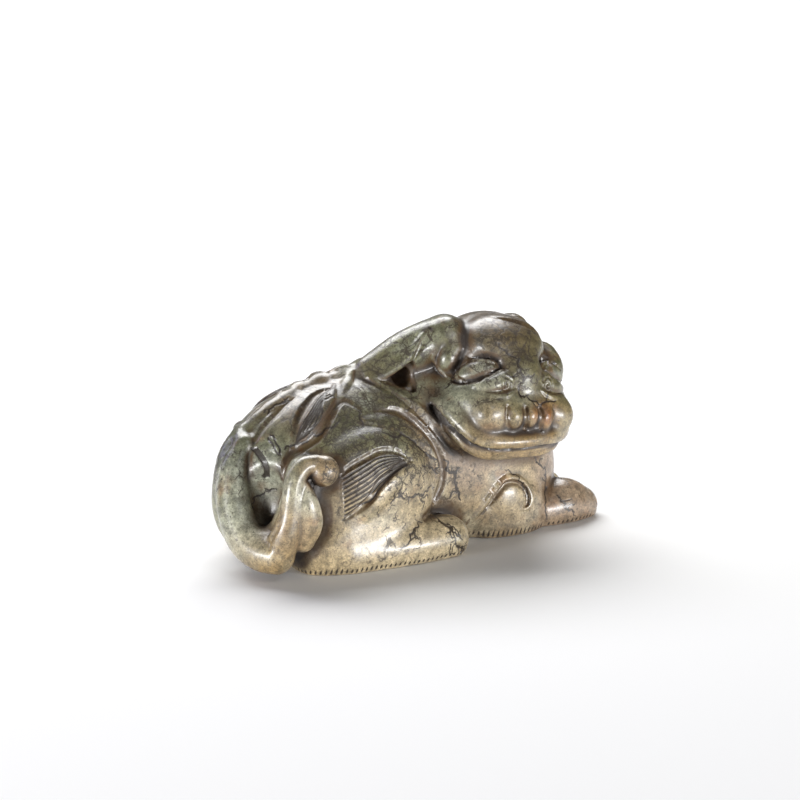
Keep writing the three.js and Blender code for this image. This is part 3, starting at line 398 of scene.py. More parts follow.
MUZZLE = [
    dict(at=(-8.2, -15.2, -4.9), size=(3.6, 3, 3.6), blend=2),
    dict(at=(9.2, -15, -4.7), size=(3.5, 3, 3.6), blend=2),
    dict(at=(-3.8, -17, -4.7), size=(2.3, 2.4, 2.8), blend=0.7, pair=True),
    dict(at=(0, -17.3, -4.4), size=(2, 2.3, 2.6), blend=0.7),
    dict(at=(-5.7, -18.9, -3.9), size=(0.8, 0.7, 0.7), blend=0.4, cut=True, pair=True),
    dict(along=[(-2.8, -15.8, 1.8), (-2.4, -16.4, 0.5), (-0.1, -17, -0.2), (3, -16.9, -0.4),
                (6.5, -16.7, -0.4)], half=(0.5, 1.5, 1.6, 1.5, 0.5), lift=-0.35, edge=1.6),
]

TEMPLES = [
    dict(at=(-12.3, -0.6, 9.6), size=(3.7, 3.4, 3.5), blend=1.8),
    dict(at=(7.6, 4.3, 10), size=(4, 3.8, 3.5), blend=1),
    dict(at=(11.2, -4.6, 2.8), size=(3.9, 5.4, 5.4), blend=1.5),
    dict(along=[(-3.4, -3.7, 12.8), (-0.6, -5.2, 12.8), (2.8, -6.1, 12.2), (6.6, -6.8, 10.2),
         (8.2, -8.2, 7.1), (7.9, -10.8, 4.4)], half=(0.3, 0.9, 1.1, 1.2, 1.2, 0.8), **NOTCH),
]

MOUTH = [
    dict(along=[(-15.4, -3.6, -5.6), (-15.2, -6, -4.6), (-14.5, -9.3, -5.6), (-13.2, -12.1, -7.5),
         (-11.6, -14.2, -9.1), (-9.8, -15.7, -10), (-7, -16.9, -10.2), (-1.8, -17.7, -9.8),
         (4.1, -17.4, -9.2), (8.1, -16.2, -8.8), (12.2, -12.9, -8.2), (14.4, -8.6, -6.2), (15, -5, -5.4)],
         radius=(1, 1.6, 1.8, 1.8, 1.8, 1.7, 1.5, 1), blend=2),
    dict(along=[(-16.6, -5.2, -5.2), (-15.8, -7.2, -6.4), (-14.2, -10.2, -8), (-12.5, -13, -9.9),
         (-10.3, -15.4, -11.6), (-7.4, -17, -12), (-3.8, -17.8, -11.7), (2, -18, -11), (5.3, -17.6, -10.7),
         (9, -15.6, -10.2), (12.5, -11.5, -9.4), (14, -8, -7.6)],
         radius=(0.8, 1.2, 1.1, 1, 0.8, 0.5), blend=CRISP_BLEND, cut=True),
    dict(along=[(-14.9, -4.4, -7.2), (-14.2, -8.2, -8.6), (-12.9, -11.3, -10.3), (-11.1, -13.4, -12.2),
         (-8.3, -15, -13.2), (-4.8, -16.1, -13.1), (-0.4, -16.4, -12.6), (4.9, -16, -12.2),
         (9.5, -14, -11.4), (13, -10, -9.8), (14.4, -6, -7.6)],
         radius=(0.9, 1.2, 1.1, 1, 1, 0.8), blend=CRISP_BLEND),
]

FAR_EAR = [
    dict(along=[(7.6, 4, 8.6), (9.4, 9.6, 6.4), (9.2, 13, 1.4), (7.6, 13.6, -4.4)],
         radius=(3.4, 4.6, 4.2, 1.6), blend=1.5),
    dict(along=[(9.4, 7, 10.4), (11.4, 12.2, 7.4), (11.6, 16, 2.2), (9.8, 16, -3)],
         half=(0.5, 1.7, 1.8, 0.5), lift=-0.9, edge=1.5),
]


def carve_head(stone):
    stone.carve(SKULL, HEAD_AT, HEAD_TURN)
    stone.carve(NEAR_EAR)
    for forms in (BROW, EYES, MUZZLE, TEMPLES, MOUTH, FAR_EAR):
        stone.carve(forms, HEAD_AT, HEAD_TURN)


carve_head(stone)
print("steps with the head:", len(stone.steps))

# %% [markdown]
# ## Tail, creases and locks
# The tail swings under the rump and up over the near haunch, where it curls. Then come the
# creases that part the haunches from the flanks, the leaf-shaped locks, the knots of hair
# along the spine, the scroll on each elbow and a fan of plainer locks behind the neck.

# %%
# Tail, creases and locks
CREASE = dict(lift=-2.2, edge=1.7)
FOLD = dict(lift=-1.2, edge=1.2)
LOCK_EDGE = dict(lift=-1.3, edge=1.0)

TAIL = [
    dict(along=[(-36.5, 2.5, 26.5), (-40, 0.6, 21.5), (-41.2, -1.4, 12.5), (-39.8, -5, 7), (-37.5, -11, 5.5)],
         radius=(2.4, 3.4, 4.2, 4, 3.4), blend=CLEAN_BLEND),
    dict(along=[(-38.6, -1.5, 24.8), (-40.9, -2.5, 21.4), (-42.2, -3.5, 17.1), (-42.6, -5.5, 12.3),
         (-42.1, -9, 7.8), (-40.6, -13, 5.8), (-39, -16.5, 5.4)],
         radius=(2.2, 3, 3.4, 3.7, 4, 4.1, 3.8), blend=CRISP_BLEND),
    dict(along=[(-36, -13.5, 8), (-34, -15, 15), (-31.5, -14.5, 22)], radius=(3.5, 3, 3), blend=3),
    dict(along=[(-38.6, -16.8, 5.8), (-37.8, -18.6, 10.4), (-37, -19.2, 14.9), (-36.6, -19.3, 19),
         (-35.6, -19, 22.1), (-33.6, -18.8, 24.3), (-31, -19, 24.6)],
         radius=(3.4, 3, 2.4, 2.1, 2.1, 2.1, 2), blend=CRISP_BLEND),
    dict(at=(-29.4, -19.4, 23), size=(3.3, 3.2, 3.3), blend=0.4),
    dict(along=[(-33.9, -19.8, 20.4), (-33.6, -19.9, 16.8), (-33.1, -19.5, 12.5), (-34, -18.8, 8.8)],
         radius=(1.2, 2.5, 3.1, 2.6), blend=0.8),
    dict(at=(-38.3, -1.8, 25.7), size=(2.1, 2.2, 2.2), blend=1),
    dict(along=[(-41.5, -18.3, 7.2), (-41, -18.3, 9.8), (-40.4, -19.2, 12), (-39.4, -20, 14)],
         half=(0.4, 0.8, 0.8, 0.3), lift=-0.8, edge=0.8),
]

BELLY = [
    dict(at=(-3, 0, -4), size=(31, 9, 6.4), blend=1.5, square=3, cut=True),
]

NECK_EDGE = [
    dict(along=[(-11.1, -3.4, 38.2), (-9.8, -5.4, 36.7), (-7, -7.3, 35.3), (-5.2, -9.2, 33.7),
         (-2.9, -10.6, 32), (-0.9, -11.8, 30), (1.4, -13, 27.2), (4.2, -14.1, 23.6), (7.1, -14.1, 20.3)],
         half=(0.4, 0.9, 0.9, 0.5), lift=0.45, edge=0.9),
    dict(along=[(-12.4, -3.4, 37.1), (-8.3, -7.3, 34.2), (-4.2, -10.6, 30.9), (0.1, -13, 26.1),
         (5.8, -14.1, 19.2)], half=(0.3, 0.8, 0.8, 0.3), lift=-0.5, edge=0.9),
]

HAUNCH_LINES = [
    dict(along=[(-34.8, 11.7, 18.8), (-33, 11.2, 23.8), (-30.3, 11.4, 26.3), (-27, 11.8, 28),
         (-23.9, 10.5, 30.5), (-20.3, 8.2, 33.1), (-17.9, 8, 33.8), (-15.6, 10.4, 32)],
         half=(0.6, 1.4, 1.6, 1.6, 1.2, 0.6), **CREASE, pair=True),
    dict(along=[(-15.6, 11.1, 31.7), (-11.3, 11.5, 31.6), (-6.9, 12.1, 30.7), (-1.8, 13.9, 25.9),
         (0.5, 14.4, 22), (1.8, 14.7, 18.4), (1.5, 14.9, 14.5), (-0.3, 15, 11.3)],
         half=(0.5, 1.3, 1.3, 1.3, 1.2), **FOLD, pair=True),
    dict(along=[(-15.4, 12.4, 30.2), (-9, 13.8, 28.6), (-5.2, 14.3, 26.5), (-1.5, 14.5, 23.4),
         (0.3, 14.9, 19.5), (0.7, 15, 15.5)], half=(1.2, 2.3, 2.3, 2, 1.5, 0.8), lift=0.5, edge=1.2,
         pair=True),
    dict(along=[(-8.1, 18.8, 22.1), (-11.6, 18.7, 24.5), (-15.5, 18.7, 25.1), (-18.6, 18.9, 24.3),
         (-22.9, 18.8, 22.7), (-25.4, 18.7, 20.7)], half=(0.5, 1, 1, 1, 0.3), **LOCK_EDGE, pair=True),
    dict(along=[(-8.1, 18.8, 22.1), (-11.6, 19.8, 21.6), (-16.6, 20.7, 18.8), (-19.1, 20.9, 15.8),
         (-22.4, 20.4, 13.4), (-25.1, 19.7, 11.9)], half=(0.5, 1.1, 1.2, 1.1, 0.3), **LOCK_EDGE,
         pair=True),
    dict(along=[(-9.6, 19.8, 20.4), (-12.9, 20.6, 18.9), (-16.8, 21, 15.9), (-20, 20.8, 12.5)],
         half=(0.8, 2.6, 2.8, 1.6), lift=0.7, edge=2, pair=True),
]

FOOT_LINES = [
    dict(along=[(-5.2, 19.2, 9), (-1.5, 17, 9.6), (2, 17.7, 8.4), (3.6, 20.2, 6.2)],
         half=(0.6, 0.9, 0.8, 0.4), **FOLD, pair=True),
    dict(along=[(1.3, 22.2, 3.2), (2.6, 21.5, 1.2)], half=0.7, **NOTCH, pair=True),
    dict(along=[(43.6, 10.2, 4.2), (44.6, 9.4, 0.6)], half=0.7, **NOTCH, pair=True),
]

SPINE = [
    dict(along=[(-8, 1, 37.2), (-12.7, 1.1, 36.9), (-17.7, 2.8, 35.9), (-22.6, 2.7, 35), (-29, 0.9, 33.3),
         (-32.6, 0.9, 31.4), (-34.8, 0.9, 29.7), (-36.5, 0.8, 28.5), (-38.4, 0.2, 26.9)],
         half=(2.2, 2.6, 2.6, 2.4, 2), lift=0.9, edge=1.6),
]

SPINE_KNOTS = [
    dict(at=(-12.2, 1, 35.6), r=3),
    dict(at=(-18, 2.4, 34.6), r=2.9),
    dict(at=(-22.9, 2.6, 33.9), r=2.3),
    dict(at=(-27, 2, 32.7), r=2),
    dict(at=(-30.6, 1.4, 31.3), r=1.8),
    dict(at=(-33.8, 1.2, 29.1), r=1.7),
]

FLANK_LOCKS = [
    dict(along=[(-18.7, 3.4, 35.5), (-21.5, 3.2, 35), (-24.9, 5.1, 33.7), (-27.9, 7.1, 31.8),
         (-30.4, 9.1, 28.9), (-32.1, 10.7, 25.7)], half=(0.4, 1.2, 1.3, 1.2, 0.4), **LOCK_EDGE, pair=True),
    dict(along=[(-18.9, 4.1, 35.2), (-21.9, 5.7, 33.9), (-24.8, 8, 31.8), (-27.6, 9.2, 30.2),
         (-30.4, 10, 27.8)], half=(0.6, 1.9, 2.4, 2, 0.6), lift=0.7, edge=1.3, pair=True),
    dict(along=[(-17.3, 2.4, 35.9), (-19.7, 5.6, 34.6), (-21.8, 8.1, 32.9), (-23.4, 9.6, 31.4)],
         half=(0.5, 1.1, 1.1, 0.3), lift=1, edge=0.9, pair=True),
    dict(along=[(-12.2, 0.8, 37.4), (-14.8, 3.2, 36.2), (-17.2, 6.2, 34.8)], half=(0.8, 1.6, 0.4),
    lift=0.7, edge=1, pair=True),
    dict(along=[(-13.9, 4.6, 36), (-13.3, 7.7, 34.7), (-12.4, 9.8, 33.2)], half=(0.4, 1, 0.3),
    lift=0.6, edge=0.8, pair=True),
    dict(along=[(-34.6, 5.9, 28.1), (-34.6, 8, 26.4), (-34.3, 9.6, 24.9)], half=(0.4, 1.2, 0.3),
         lift=0.7, edge=0.8, pair=True),
    dict(along=[(-25.1, 1.4, 34.6), (-29.1, 2.4, 33), (-31.6, 3, 31.5), (-34.1, 3.2, 29.7),
         (-35.9, 3.5, 27.9), (-37.1, 3.9, 26.4)], half=(0.4, 1.1, 1.1, 0.5), lift=-1, edge=1, pair=True),
]

SCROLL = [(8, 13, 2.5), (10, 12.7, 4.7), (13.5, 13.4, 8.9), (16.2, 13.5, 11.8), (18.2, 13.4, 13),
          (21.1, 13.3, 12.4), (23.6, 13.4, 10.5), (24.5, 13.9, 8), (23.5, 14.4, 6.1), (21.4, 14.5, 6.2)]
SCROLL_EYE = (18.5, 13.5, 7.5)
SCROLL_INSET = 0.22  # how far the groove lies towards the scroll's eye
KNOT_WIDTH = 1.15  # a knot is wider than it is long
MANE_LOCKS = 7
MANE_FIRST = (-4, 8.5, 35)  # root of the lock nearest the tail
MANE_LAST = (27, 7.5, 33)  # root of the lock nearest the far ear
MANE_RISE = 2.5  # how much higher the middle roots are
MANE_DROP = np.array([(0, 0, 0), (-2.2, 2.2, -3.6), (-3, 3.4, -7.4), (-1.6, 4, -10.8)])
MANE_HALF = (1.1, 1.9, 1.7, 0.3)


def carve_scrolls(stone):
    stone.carve([dict(at=(19.3, 13, 8.2), size=(4, 1.9, 4.6), blend=1, pair=True)])
    outer = np.array(SCROLL)
    groove = outer[1:] + (np.array(SCROLL_EYE) - outer[1:]) * SCROLL_INSET
    stone.carve([
        dict(along=outer, half=(0.3, 1, 1, 1, 1, 0.9, 0.4), lift=0.7, edge=0.8, pair=True),
        dict(along=groove, half=(0.3, 0.8, 0.9, 0.9, 0.9, 0.7, 0.3), lift=-0.8, edge=0.8, pair=True),
    ])


def carve_knots(stone):
    for knot in SPINE_KNOTS:
        size = knot["r"] * np.array((1, KNOT_WIDTH, 1))
        stone.carve([dict(at=knot["at"], size=size, blend=0.8)])


def carve_mane(stone):
    """Locks in a fan, leaning away from the middle of it."""
    for share in np.linspace(0, 1, MANE_LOCKS):
        root = np.array(MANE_FIRST) + (np.array(MANE_LAST) - MANE_FIRST) * share
        root[2] += MANE_RISE * 4 * share * (1 - share)
        lean = np.array((1 - 2 * share, 1, 1))
        stone.carve([dict(along=root + MANE_DROP * lean, half=MANE_HALF, lift=0.8, edge=1.1)])


def carve_body(stone):
    for forms in (TAIL, BELLY, NECK_EDGE, HAUNCH_LINES, FOOT_LINES):
        stone.carve(forms)
    carve_scrolls(stone)
    stone.carve(SPINE)
    carve_knots(stone)
    stone.carve(FLANK_LOCKS)
    carve_mane(stone)


carve_body(stone)
print("steps with the body:", len(stone.steps))

# %% [markdown]
# ## Finer carving
# These are left out of the plain solid, but the stone has them: the line round the eyeball
# and the lid across it, the long tail of the curl under the eye and the spiral on it, the
# grooves between the pads of the muzzle, the floor of the slit between the lips, and the
# rounded edge of the flat base.

# %%
# Eye, curl and base
FINE_CUT = dict(lift=-0.4, edge=0.4)
FINE_RIDGE = dict(lift=0.35, edge=0.5)
CURL_EYE = np.array((-5.2, -15, 1.9))
CURL_RADIUS = 1.6
CURL_TURNS = 1.25
CURL_POINTS = 14
CURL_START = 0.6  # radians
CURL_CLOSES = 0.85  # share of the radius that is lost on the way in
CURL_LEAN = (0.8, -0.45)  # how a step across the curl moves across and out of the face
BASE_ROUND = 0.7  # mm, blend of the base's edge
SLIT_FLOOR = [
    dict(along=[(-15, -5, -5.6), (-14.3, -7.2, -6.6), (-12.9, -10.2, -8.2), (-11.4, -12.6, -10.1),
                (-9.6, -14.6, -11.7), (-7, -16, -12.1), (-3.6, -16.8, -11.8), (2, -17, -11.1),
                (5, -16.6, -10.8), (8.4, -14.8, -10.3), (11.8, -11, -9.5), (13.4, -7.8, -7.8)],
         radius=(1.3, 1.4, 1.2, 1.1, 0.8, 0.5), blend=0.5),
]
CURL_TAIL = [
    dict(along=[(-12, -10.3, 0.3), (-10.8, -11.9, 0.5), (-9.2, -13, 0.8), (-7.6, -13.5, 1.2),
                (-6, -13.6, 1.8)], radius=(0.5, 1, 1.5, 1.9, 2.1), blend=0.4, pair=True),
]


def curl_spiral():
    """A spiral on the near curl, seen from the front of the face."""
    share = np.linspace(0, 1, CURL_POINTS)
    angle = share * CURL_TURNS * 2 * np.pi + CURL_START
    radius = CURL_RADIUS * (1 - CURL_CLOSES * share)
    across, up = radius * np.cos(angle), radius * np.sin(angle)
    return CURL_EYE + np.stack([across * CURL_LEAN[0], across * CURL_LEAN[1], up], 1)


FACE_LINES = [
    dict(along=[(-12.5, -7.4, 1.3), (-12, -6.9, 2.8), (-10.7, -6.3, 3.9), (-10.2, -7.6, 4.8),
                (-9.5, -9.1, 5.4), (-8.5, -10.3, 5.6), (-7.3, -11.2, 5.5), (-6.1, -11.8, 5)],
         half=0.55, **FINE_CUT, pair=True),
    dict(along=[(-12.6, -7.8, 1.3), (-12.1, -10.3, 1.1), (-11.4, -11.6, 1.3), (-10.3, -12.4, 1.7),
                (-8.8, -12.5, 2.4), (-7.4, -12.6, 3.3), (-6, -12.5, 4.4)], half=0.5, **FINE_CUT, pair=True),
    dict(along=[(-5, -12.7, 4.5), (-6.6, -13.3, 3.6), (-7.6, -13.1, 2.5), (-9, -13.2, 1.5)], half=0.5,
         **FINE_RIDGE, pair=True),
    dict(along=curl_spiral(), half=0.5, **FINE_CUT, pair=True),
    dict(along=[(-5.9, -17.7, -2.4), (-5.9, -17.6, -3.9), (-5.9, -18.3, -5.1), (-5.2, -18.2, -6.6)],
         half=0.6, lift=-0.5, edge=0.6),
    dict(along=[(-1.6, -18.2, -2.5), (-1.5, -19.1, -4), (-1.3, -19.2, -5.5), (-1, -18.3, -7)],
         half=0.6, lift=-0.5, edge=0.6),
    dict(along=[(2.1, -17.9, -2.5), (2.4, -18.9, -3.5), (2.5, -19.2, -5), (2.6, -18.5, -6.6)],
         half=0.6, lift=-0.4, edge=0.6),
]


def cut_base(stone):
    def rule(points, depth):
        return -joined(-depth, points[:, 2], BASE_ROUND)

    stone.add([-100] * 3, [100] * 3, 0, rule)


stone.carve(SLIT_FLOOR + CURL_TAIL + FACE_LINES, HEAD_AT, HEAD_TURN)
cut_base(stone)
print("steps in all:", len(stone.steps))

# %% [markdown]
# ## Strokes of hair
# The leaf-shaped locks are combed with fine parallel strokes, and short strokes fan out from
# the root of the tail. Each stroke is worked out between the two edges of its lock and laid
# onto the stone. They are kept as lines, because Geometry Nodes will cut them into the mesh.

# %%
# Lay the strokes
HAUNCH_LOCK = (
    [(-9.6, -18.8, 21.9), (-11.6, -18.7, 23.6), (-15.5, -18.7, 24.2), (-18.6, -18.9, 23.5),
     (-24.4, -18.8, 21)],
    [(-9.6, -19.2, 21.2), (-12.2, -19.9, 20.6), (-16.6, -20.7, 17.8), (-19.4, -20.9, 15),
     (-24.6, -20, 12.4)],
    9,
)
FLANK_LOCK = (
    [(-19.5, -3.9, 35.2), (-22.4, -4.4, 34.3), (-25.6, -6.4, 32.8), (-28.3, -8.1, 30.9), (-30.8, -9.8, 28)],
    [(-20.4, -6.2, 34.2), (-23.4, -8.6, 32.2), (-25.8, -10.4, 30.2), (-28.2, -11, 28.7), (-31, -11.2, 26.6)],
    8,
)
TAIL_FANS = [
    ([(-38.2, -4.2, 25.4), (-37.6, -6.1, 24.1), (-37.1, -7.8, 22.2), (-36.5, -7.1, 19.8)],
     [(-37.1, -5.2, 25.7), (-36.6, -7.4, 24.2), (-36.3, -8.6, 22.3), (-35.7, -7.8, 19.9)], 4),
    ([(-34.9, -6.2, 27.6), (-34.8, -8.1, 26.1), (-34.6, -9.4, 24.8)],
     [(-34.1, -6.2, 27.6), (-34, -8.3, 26.1), (-34, -9.8, 24.8)], 2),
]
MIRROR = np.array((1, -1, 1))


def comb(first, last, count):
    """Lines spaced evenly from one edge of a lock to the other, laid onto the stone."""
    first, last = smooth_line(first), smooth_line(last)
    shares = (np.arange(count) + 0.5) / count
    return [stone.lay(first + (last - first) * share) for share in shares]


def lay_strokes():
    strokes = []
    for first, last, count in (HAUNCH_LOCK, FLANK_LOCK):
        strokes += comb(first, last, count)
        strokes += comb(np.array(first) * MIRROR, np.array(last) * MIRROR, count)
    for first, last, count in TAIL_FANS:
        strokes += comb(first, last, count)
    return strokes


strokes = lay_strokes()
print("strokes of hair:", len(strokes))

# %% [markdown]
# ## Ticks along the base
# A row of short cuts runs along the lower edge of each foot and haunch. Only the paths are
# given here. The ticks themselves repeat along a path, which is Geometry Nodes' own work.

# %%
# Lay the tick paths
TICK_HEIGHT = 1.7
TICK_PITCH = 1.07
TICK_LEVEL = 0.5  # mm above the base
TICK_PATHS = [
    [(-33, -14), (-31, -18), (-26, -21), (-18, -22.5), (-8, -23), (1, -22.8), (4.5, -20)],
    [(9, -12), (12, -14), (17, -14.8), (23, -14.6), (28, -13)],
    [(30, -12.4), (35, -13), (40, -12.2), (44, -9)],
]


def lay_tick_paths():
    paths = []
    for path in TICK_PATHS:
        for side in (1, -1):
            flat = smooth_line([(x, y * side, TICK_LEVEL) for x, y in path])
            laid = stone.lay(flat)
            laid[:, 2] = TICK_LEVEL
            paths.append(laid)
    return paths


tick_paths = lay_tick_paths()
print("tick paths:", len(tick_paths))

# %% [markdown]
# ## Fissures
# Old jade is rarely whole. Fine breaks run over the haunch, the feet, the chest and the brow,
# and dirt has settled in them, so they read as thin dark lines. Each one is given by a few
# points and made jagged by moving the middle of every stretch sideways by chance, again and
# again, with the same seed each time. Most of them throw off a short branch as well.

# %%
# Lay the fissures
FISSURES = [
    dict(line=[(-18, -15, 28.4), (-14.2, -15, 28.7), (-8.8, -15.5, 27.3), (-4.1, -15.8, 23.2),
               (0, -15.2, 20.3), (1.7, -14.2, 17.2)], width=0.3),
    dict(line=[(-5, -17.8, 20.3), (-3.1, -16.5, 20), (-1, -15.3, 18.5), (1.3, -14.3, 16.4)], width=0.24),
    dict(line=[(-10.3, -20.5, 15.7), (-7, -19.7, 15), (-4.3, -18.5, 14.8), (-0.5, -15.3, 14.3)], width=0.16),
    dict(line=[(-14.4, -21, 14.3), (-12.9, -21, 15.3), (-10.8, -20.6, 14.5)], width=0.14),
    dict(line=[(-15.3, -10.4, 32), (-16.6, -13, 29.5), (-18, -15, 28.4)], width=0.2),
    dict(line=[(2.4, -14.2, 19.7), (2.8, -14.3, 17.5), (5, -14.4, 16), (6, -14.2, 12.2),
               (6.7, -14, 10)], width=0.32),
    dict(line=[(-6, -19.8, 8.6), (-8, -20.7, 8), (-10, -21.6, 6.8), (-12.7, -22.3, 4.8)], width=0.16),
    dict(line=[(-1.7, -15.8, 9), (-1.4, -20.3, 7.8), (0.2, -21.6, 6), (2, -22, 5)], width=0.24),
    dict(line=[(-0.5, -22, 5.5), (1.6, -21.8, 2.5), (3.3, -21.4, 2)], width=0.18),
    dict(line=[(-33.2, -9.8, 25.8), (-30.3, -10.5, 27), (-24, -10.7, 29.3), (-21, -11, 30.7)], width=0.35),
    dict(line=[(-32.8, -2, 31), (-30, -1.2, 33), (-27.6, -0.8, 34)], width=0.28),
    dict(line=[(-38.8, -6.3, 12), (-36.7, -7, 15.7), (-35.8, -8.8, 16.5)], width=0.14),
    dict(line=[(15, -15.6, 43.6), (16.3, -16.6, 42), (18.5, -18.2, 40.5), (18.5, -20.7, 37),
               (16.5, -21.5, 34), (16.6, -22.2, 33)], width=0.22),
    dict(line=[(4, -11.7, 34.4), (6.2, -12.6, 35.8)], width=0.22),
    dict(line=[(16.9, -21.8, 33.7), (19.7, -22.3, 32), (25.6, -21.4, 31)], width=0.18),
    dict(line=[(25, -13, 19), (28.4, -11.2, 14), (31, -10, 8.4), (29.4, -12, 2)], width=0.2),
    dict(line=[(18, -13.6, 15), (21.3, -13.7, 12.7), (23.4, -13.7, 9.7), (23.4, -14.5, 6.5)], width=0.14),
    dict(line=[(32.4, -11.5, 6.7), (34, -12.8, 4.5), (36, -12.9, 2)], width=0.18),
    dict(line=[(-24, 12, 29), (-18, 16, 24), (-12, 19, 22), (-6, 19, 15)], width=0.26),
    dict(line=[(-30, 17, 8), (-22, 20, 12), (-14, 21, 8)], width=0.18),
    dict(line=[(3, 14, 27), (8, 14, 20), (9, 14.5, 11)], width=0.24),
    dict(line=[(-38, 6, 22), (-36, 12, 15), (-37, 11, 8)], width=0.2),
    dict(line=[(24, 10, 33), (22, 12, 25), (26, 12, 17)], width=0.2),
    dict(line=[(36, 3, 15), (35.5, -3, 12), (36, -5, 7)], width=0.2),
]
JAG = 0.16  # sideways moves, as a share of a stretch
JAG_ROUNDS = 4
BRANCH_CHANCE = 0.75
BRANCH_LENGTH = (1.5, 4)
BRANCH_STRAY = 0.9  # how far a branch's way is thrown off
BRANCH_WIDTH = 0.6  # of the width of its line
rng = np.random.default_rng(7)


def jagged(line, rounds=JAG_ROUNDS):
    for _ in range(rounds):
        step = np.linalg.norm(np.diff(line, axis=0), axis=1)[:, None]
        middle = (line[1:] + line[:-1]) / 2 + rng.normal(size=(len(line) - 1, 3)) * step * JAG
        whole = np.empty((2 * len(line) - 1, 3))
        whole[::2], whole[1::2] = line, middle
        line = whole
    return stone.lay(line, turns=3)


def branch_of(line):
    """A short side crack that leaves a line at a chance place and angle."""
    at = rng.integers(len(line) // 4, 3 * len(line) // 4)
    ahead = line[min(at + 3, len(line) - 1)] - line[at]
    way = ahead / (np.linalg.norm(ahead) + TINY) + rng.normal(size=3) * BRANCH_STRAY
    way /= np.linalg.norm(way)
    length = rng.uniform(*BRANCH_LENGTH)
    return jagged(np.array([line[at], line[at] + way * length]), rounds=JAG_ROUNDS - 1)


def lay_fissures():
    """Pairs of a jagged line and its widths, which taper to nothing at both ends."""
    laid = []
    for fissure in FISSURES:
        line = jagged(np.array(fissure["line"], float))
        laid.append((line, fissure["width"]))
        while rng.random() < BRANCH_CHANCE:
            laid.append((branch_of(line), fissure["width"] * BRANCH_WIDTH))
    return laid


fissures = lay_fissures()
print("fissures and branches:", len(fissures))

# %% [markdown]
# ## The skin
# The field is meshed on a grid, one vertex for each cell that the skin crosses. Then edges
# are split where the stone turns quickly or where fine strokes will be cut, so that the
# triangles go where the carving is. After each round the new vertices are laid on the skin.

# %%
# Mesh the skin
GRID = 0.95
COARSE = 4  # coarse cells are this many times larger
LOW = np.array((-46.5, -26.5, -1.5))
HIGH = np.array((46.5, 25, 50))


def grid_points(step):
    return [np.arange(low, high + step, step) for low, high in zip(LOW, HIGH)]


def sample_field():
    """The depth on the fine grid, worked out only near the skin."""
    coarse = grid_points(GRID * COARSE)
    count = [len(a) for a in coarse]
    corners = np.stack(np.meshgrid(*coarse, indexing="ij"), -1).reshape(-1, 3)
    rough = stone.depth(corners.astype(np.float32)).reshape(count)
    fine = [np.linspace(a[0], a[-1], COARSE * (len(a) - 1) + 1) for a in coarse]
    field = np.repeat(np.repeat(np.repeat(rough[:-1, :-1, :-1], COARSE, 0), COARSE, 1), COARSE, 2)
    field = np.pad(field, ((0, 1),) * 3, mode="edge")
    near = np.abs(field) < GRID * COARSE * math.sqrt(3) + 1.5
    points = np.stack([fine[axis][index] for axis, index in enumerate(np.nonzero(near))], 1)
    field[near] = stone.depth(points.astype(np.float32))
    return field, fine


print("cells to a side:", [len(axis) - 1 for axis in grid_points(GRID)])


# %%
# Find the skin in the field
def skin_of(field, fine):
    """One vertex in each cell that the skin crosses, and a square across each crossed edge."""
    size = np.array(field.shape) - 1
    total = np.zeros((*size, 3), np.float32)
    crossings = np.zeros(size, np.int32)
    for axis in range(3):
        others = [a for a in range(3) if a != axis]
        low = [slice(None)] * 3
        high = [slice(None)] * 3
        low[axis], high[axis] = slice(0, -1), slice(1, None)
        a, b = field[tuple(low)], field[tuple(high)]
        crossed = (a < 0) != (b < 0)
        share = np.where(crossed, a / np.where(crossed, a - b, 1), 0)
        for u in (0, 1):
            for v in (0, 1):
                part = [slice(None)] * 3
                part[others[0]] = slice(u, u + size[others[0]])
                part[others[1]] = slice(v, v + size[others[1]])
                here = crossed[tuple(part)]
                crossings += here
                total[..., axis] += np.where(here, share[tuple(part)], 0)
                total[..., others[0]] += here * u
                total[..., others[1]] += here * v
    active = crossings > 0
    number = np.full(size, -1)
    number[active] = np.arange(active.sum())
    places = np.stack(np.nonzero(active), 1) + total[active] / crossings[active][:, None]
    start = np.array([a[0] for a in fine])
    points = start + places * GRID
    squares = []
    for axis in range(3):
        u, v = (axis + 1) % 3, (axis + 2) % 3
        inner = [slice(1, -1)] * 3
        inner[axis] = slice(0, -1)
        ahead = list(inner)
        ahead[axis] = slice(1, None)
        a, b = field[tuple(inner)] < 0, field[tuple(ahead)] < 0
        cells = np.stack(np.nonzero(a != b), 1)
        leaves = a[tuple(cells.T)]
        cells[:, u] += 1
        cells[:, v] += 1
        step_u, step_v = np.eye(3, dtype=int)[u], np.eye(3, dtype=int)[v]
        ring = [cells, cells - step_u, cells - step_u - step_v, cells - step_v]
        square = np.stack([number[tuple(c.T)] for c in ring], 1)
        square[~leaves] = square[~leaves, ::-1]
        squares.append(square)
    return points.astype(np.float32), np.vstack(squares)


def as_triangles(points, squares):
    """Each square is split along its shorter diagonal."""
    a, b, c, d = squares.T
    first = np.linalg.norm(points[a] - points[c], axis=1)
    second = np.linalg.norm(points[b] - points[d], axis=1)
    one = first < second
    left = np.where(one[:, None], np.stack([a, b, c], 1), np.stack([a, b, d], 1))
    right = np.where(one[:, None], np.stack([a, c, d], 1), np.stack([b, c, d], 1))
    return np.vstack([left, right])


field, fine = sample_field()
points, squares = skin_of(field, fine)
triangles = as_triangles(points, squares)
points = stone.lay(points, turns=2, longest=GRID / 3)
print("first skin:", len(points), "points,", len(triangles), "triangles")

# %% [markdown]
# ## Finer where the carving is
# A triangle has up to three edges to split, which gives three ways to divide it. An edge is
# split when the stone turns along it by more than a few degrees, or when it lies close to a
# stroke, so a smooth flank stays coarse and an eyelid becomes fine.

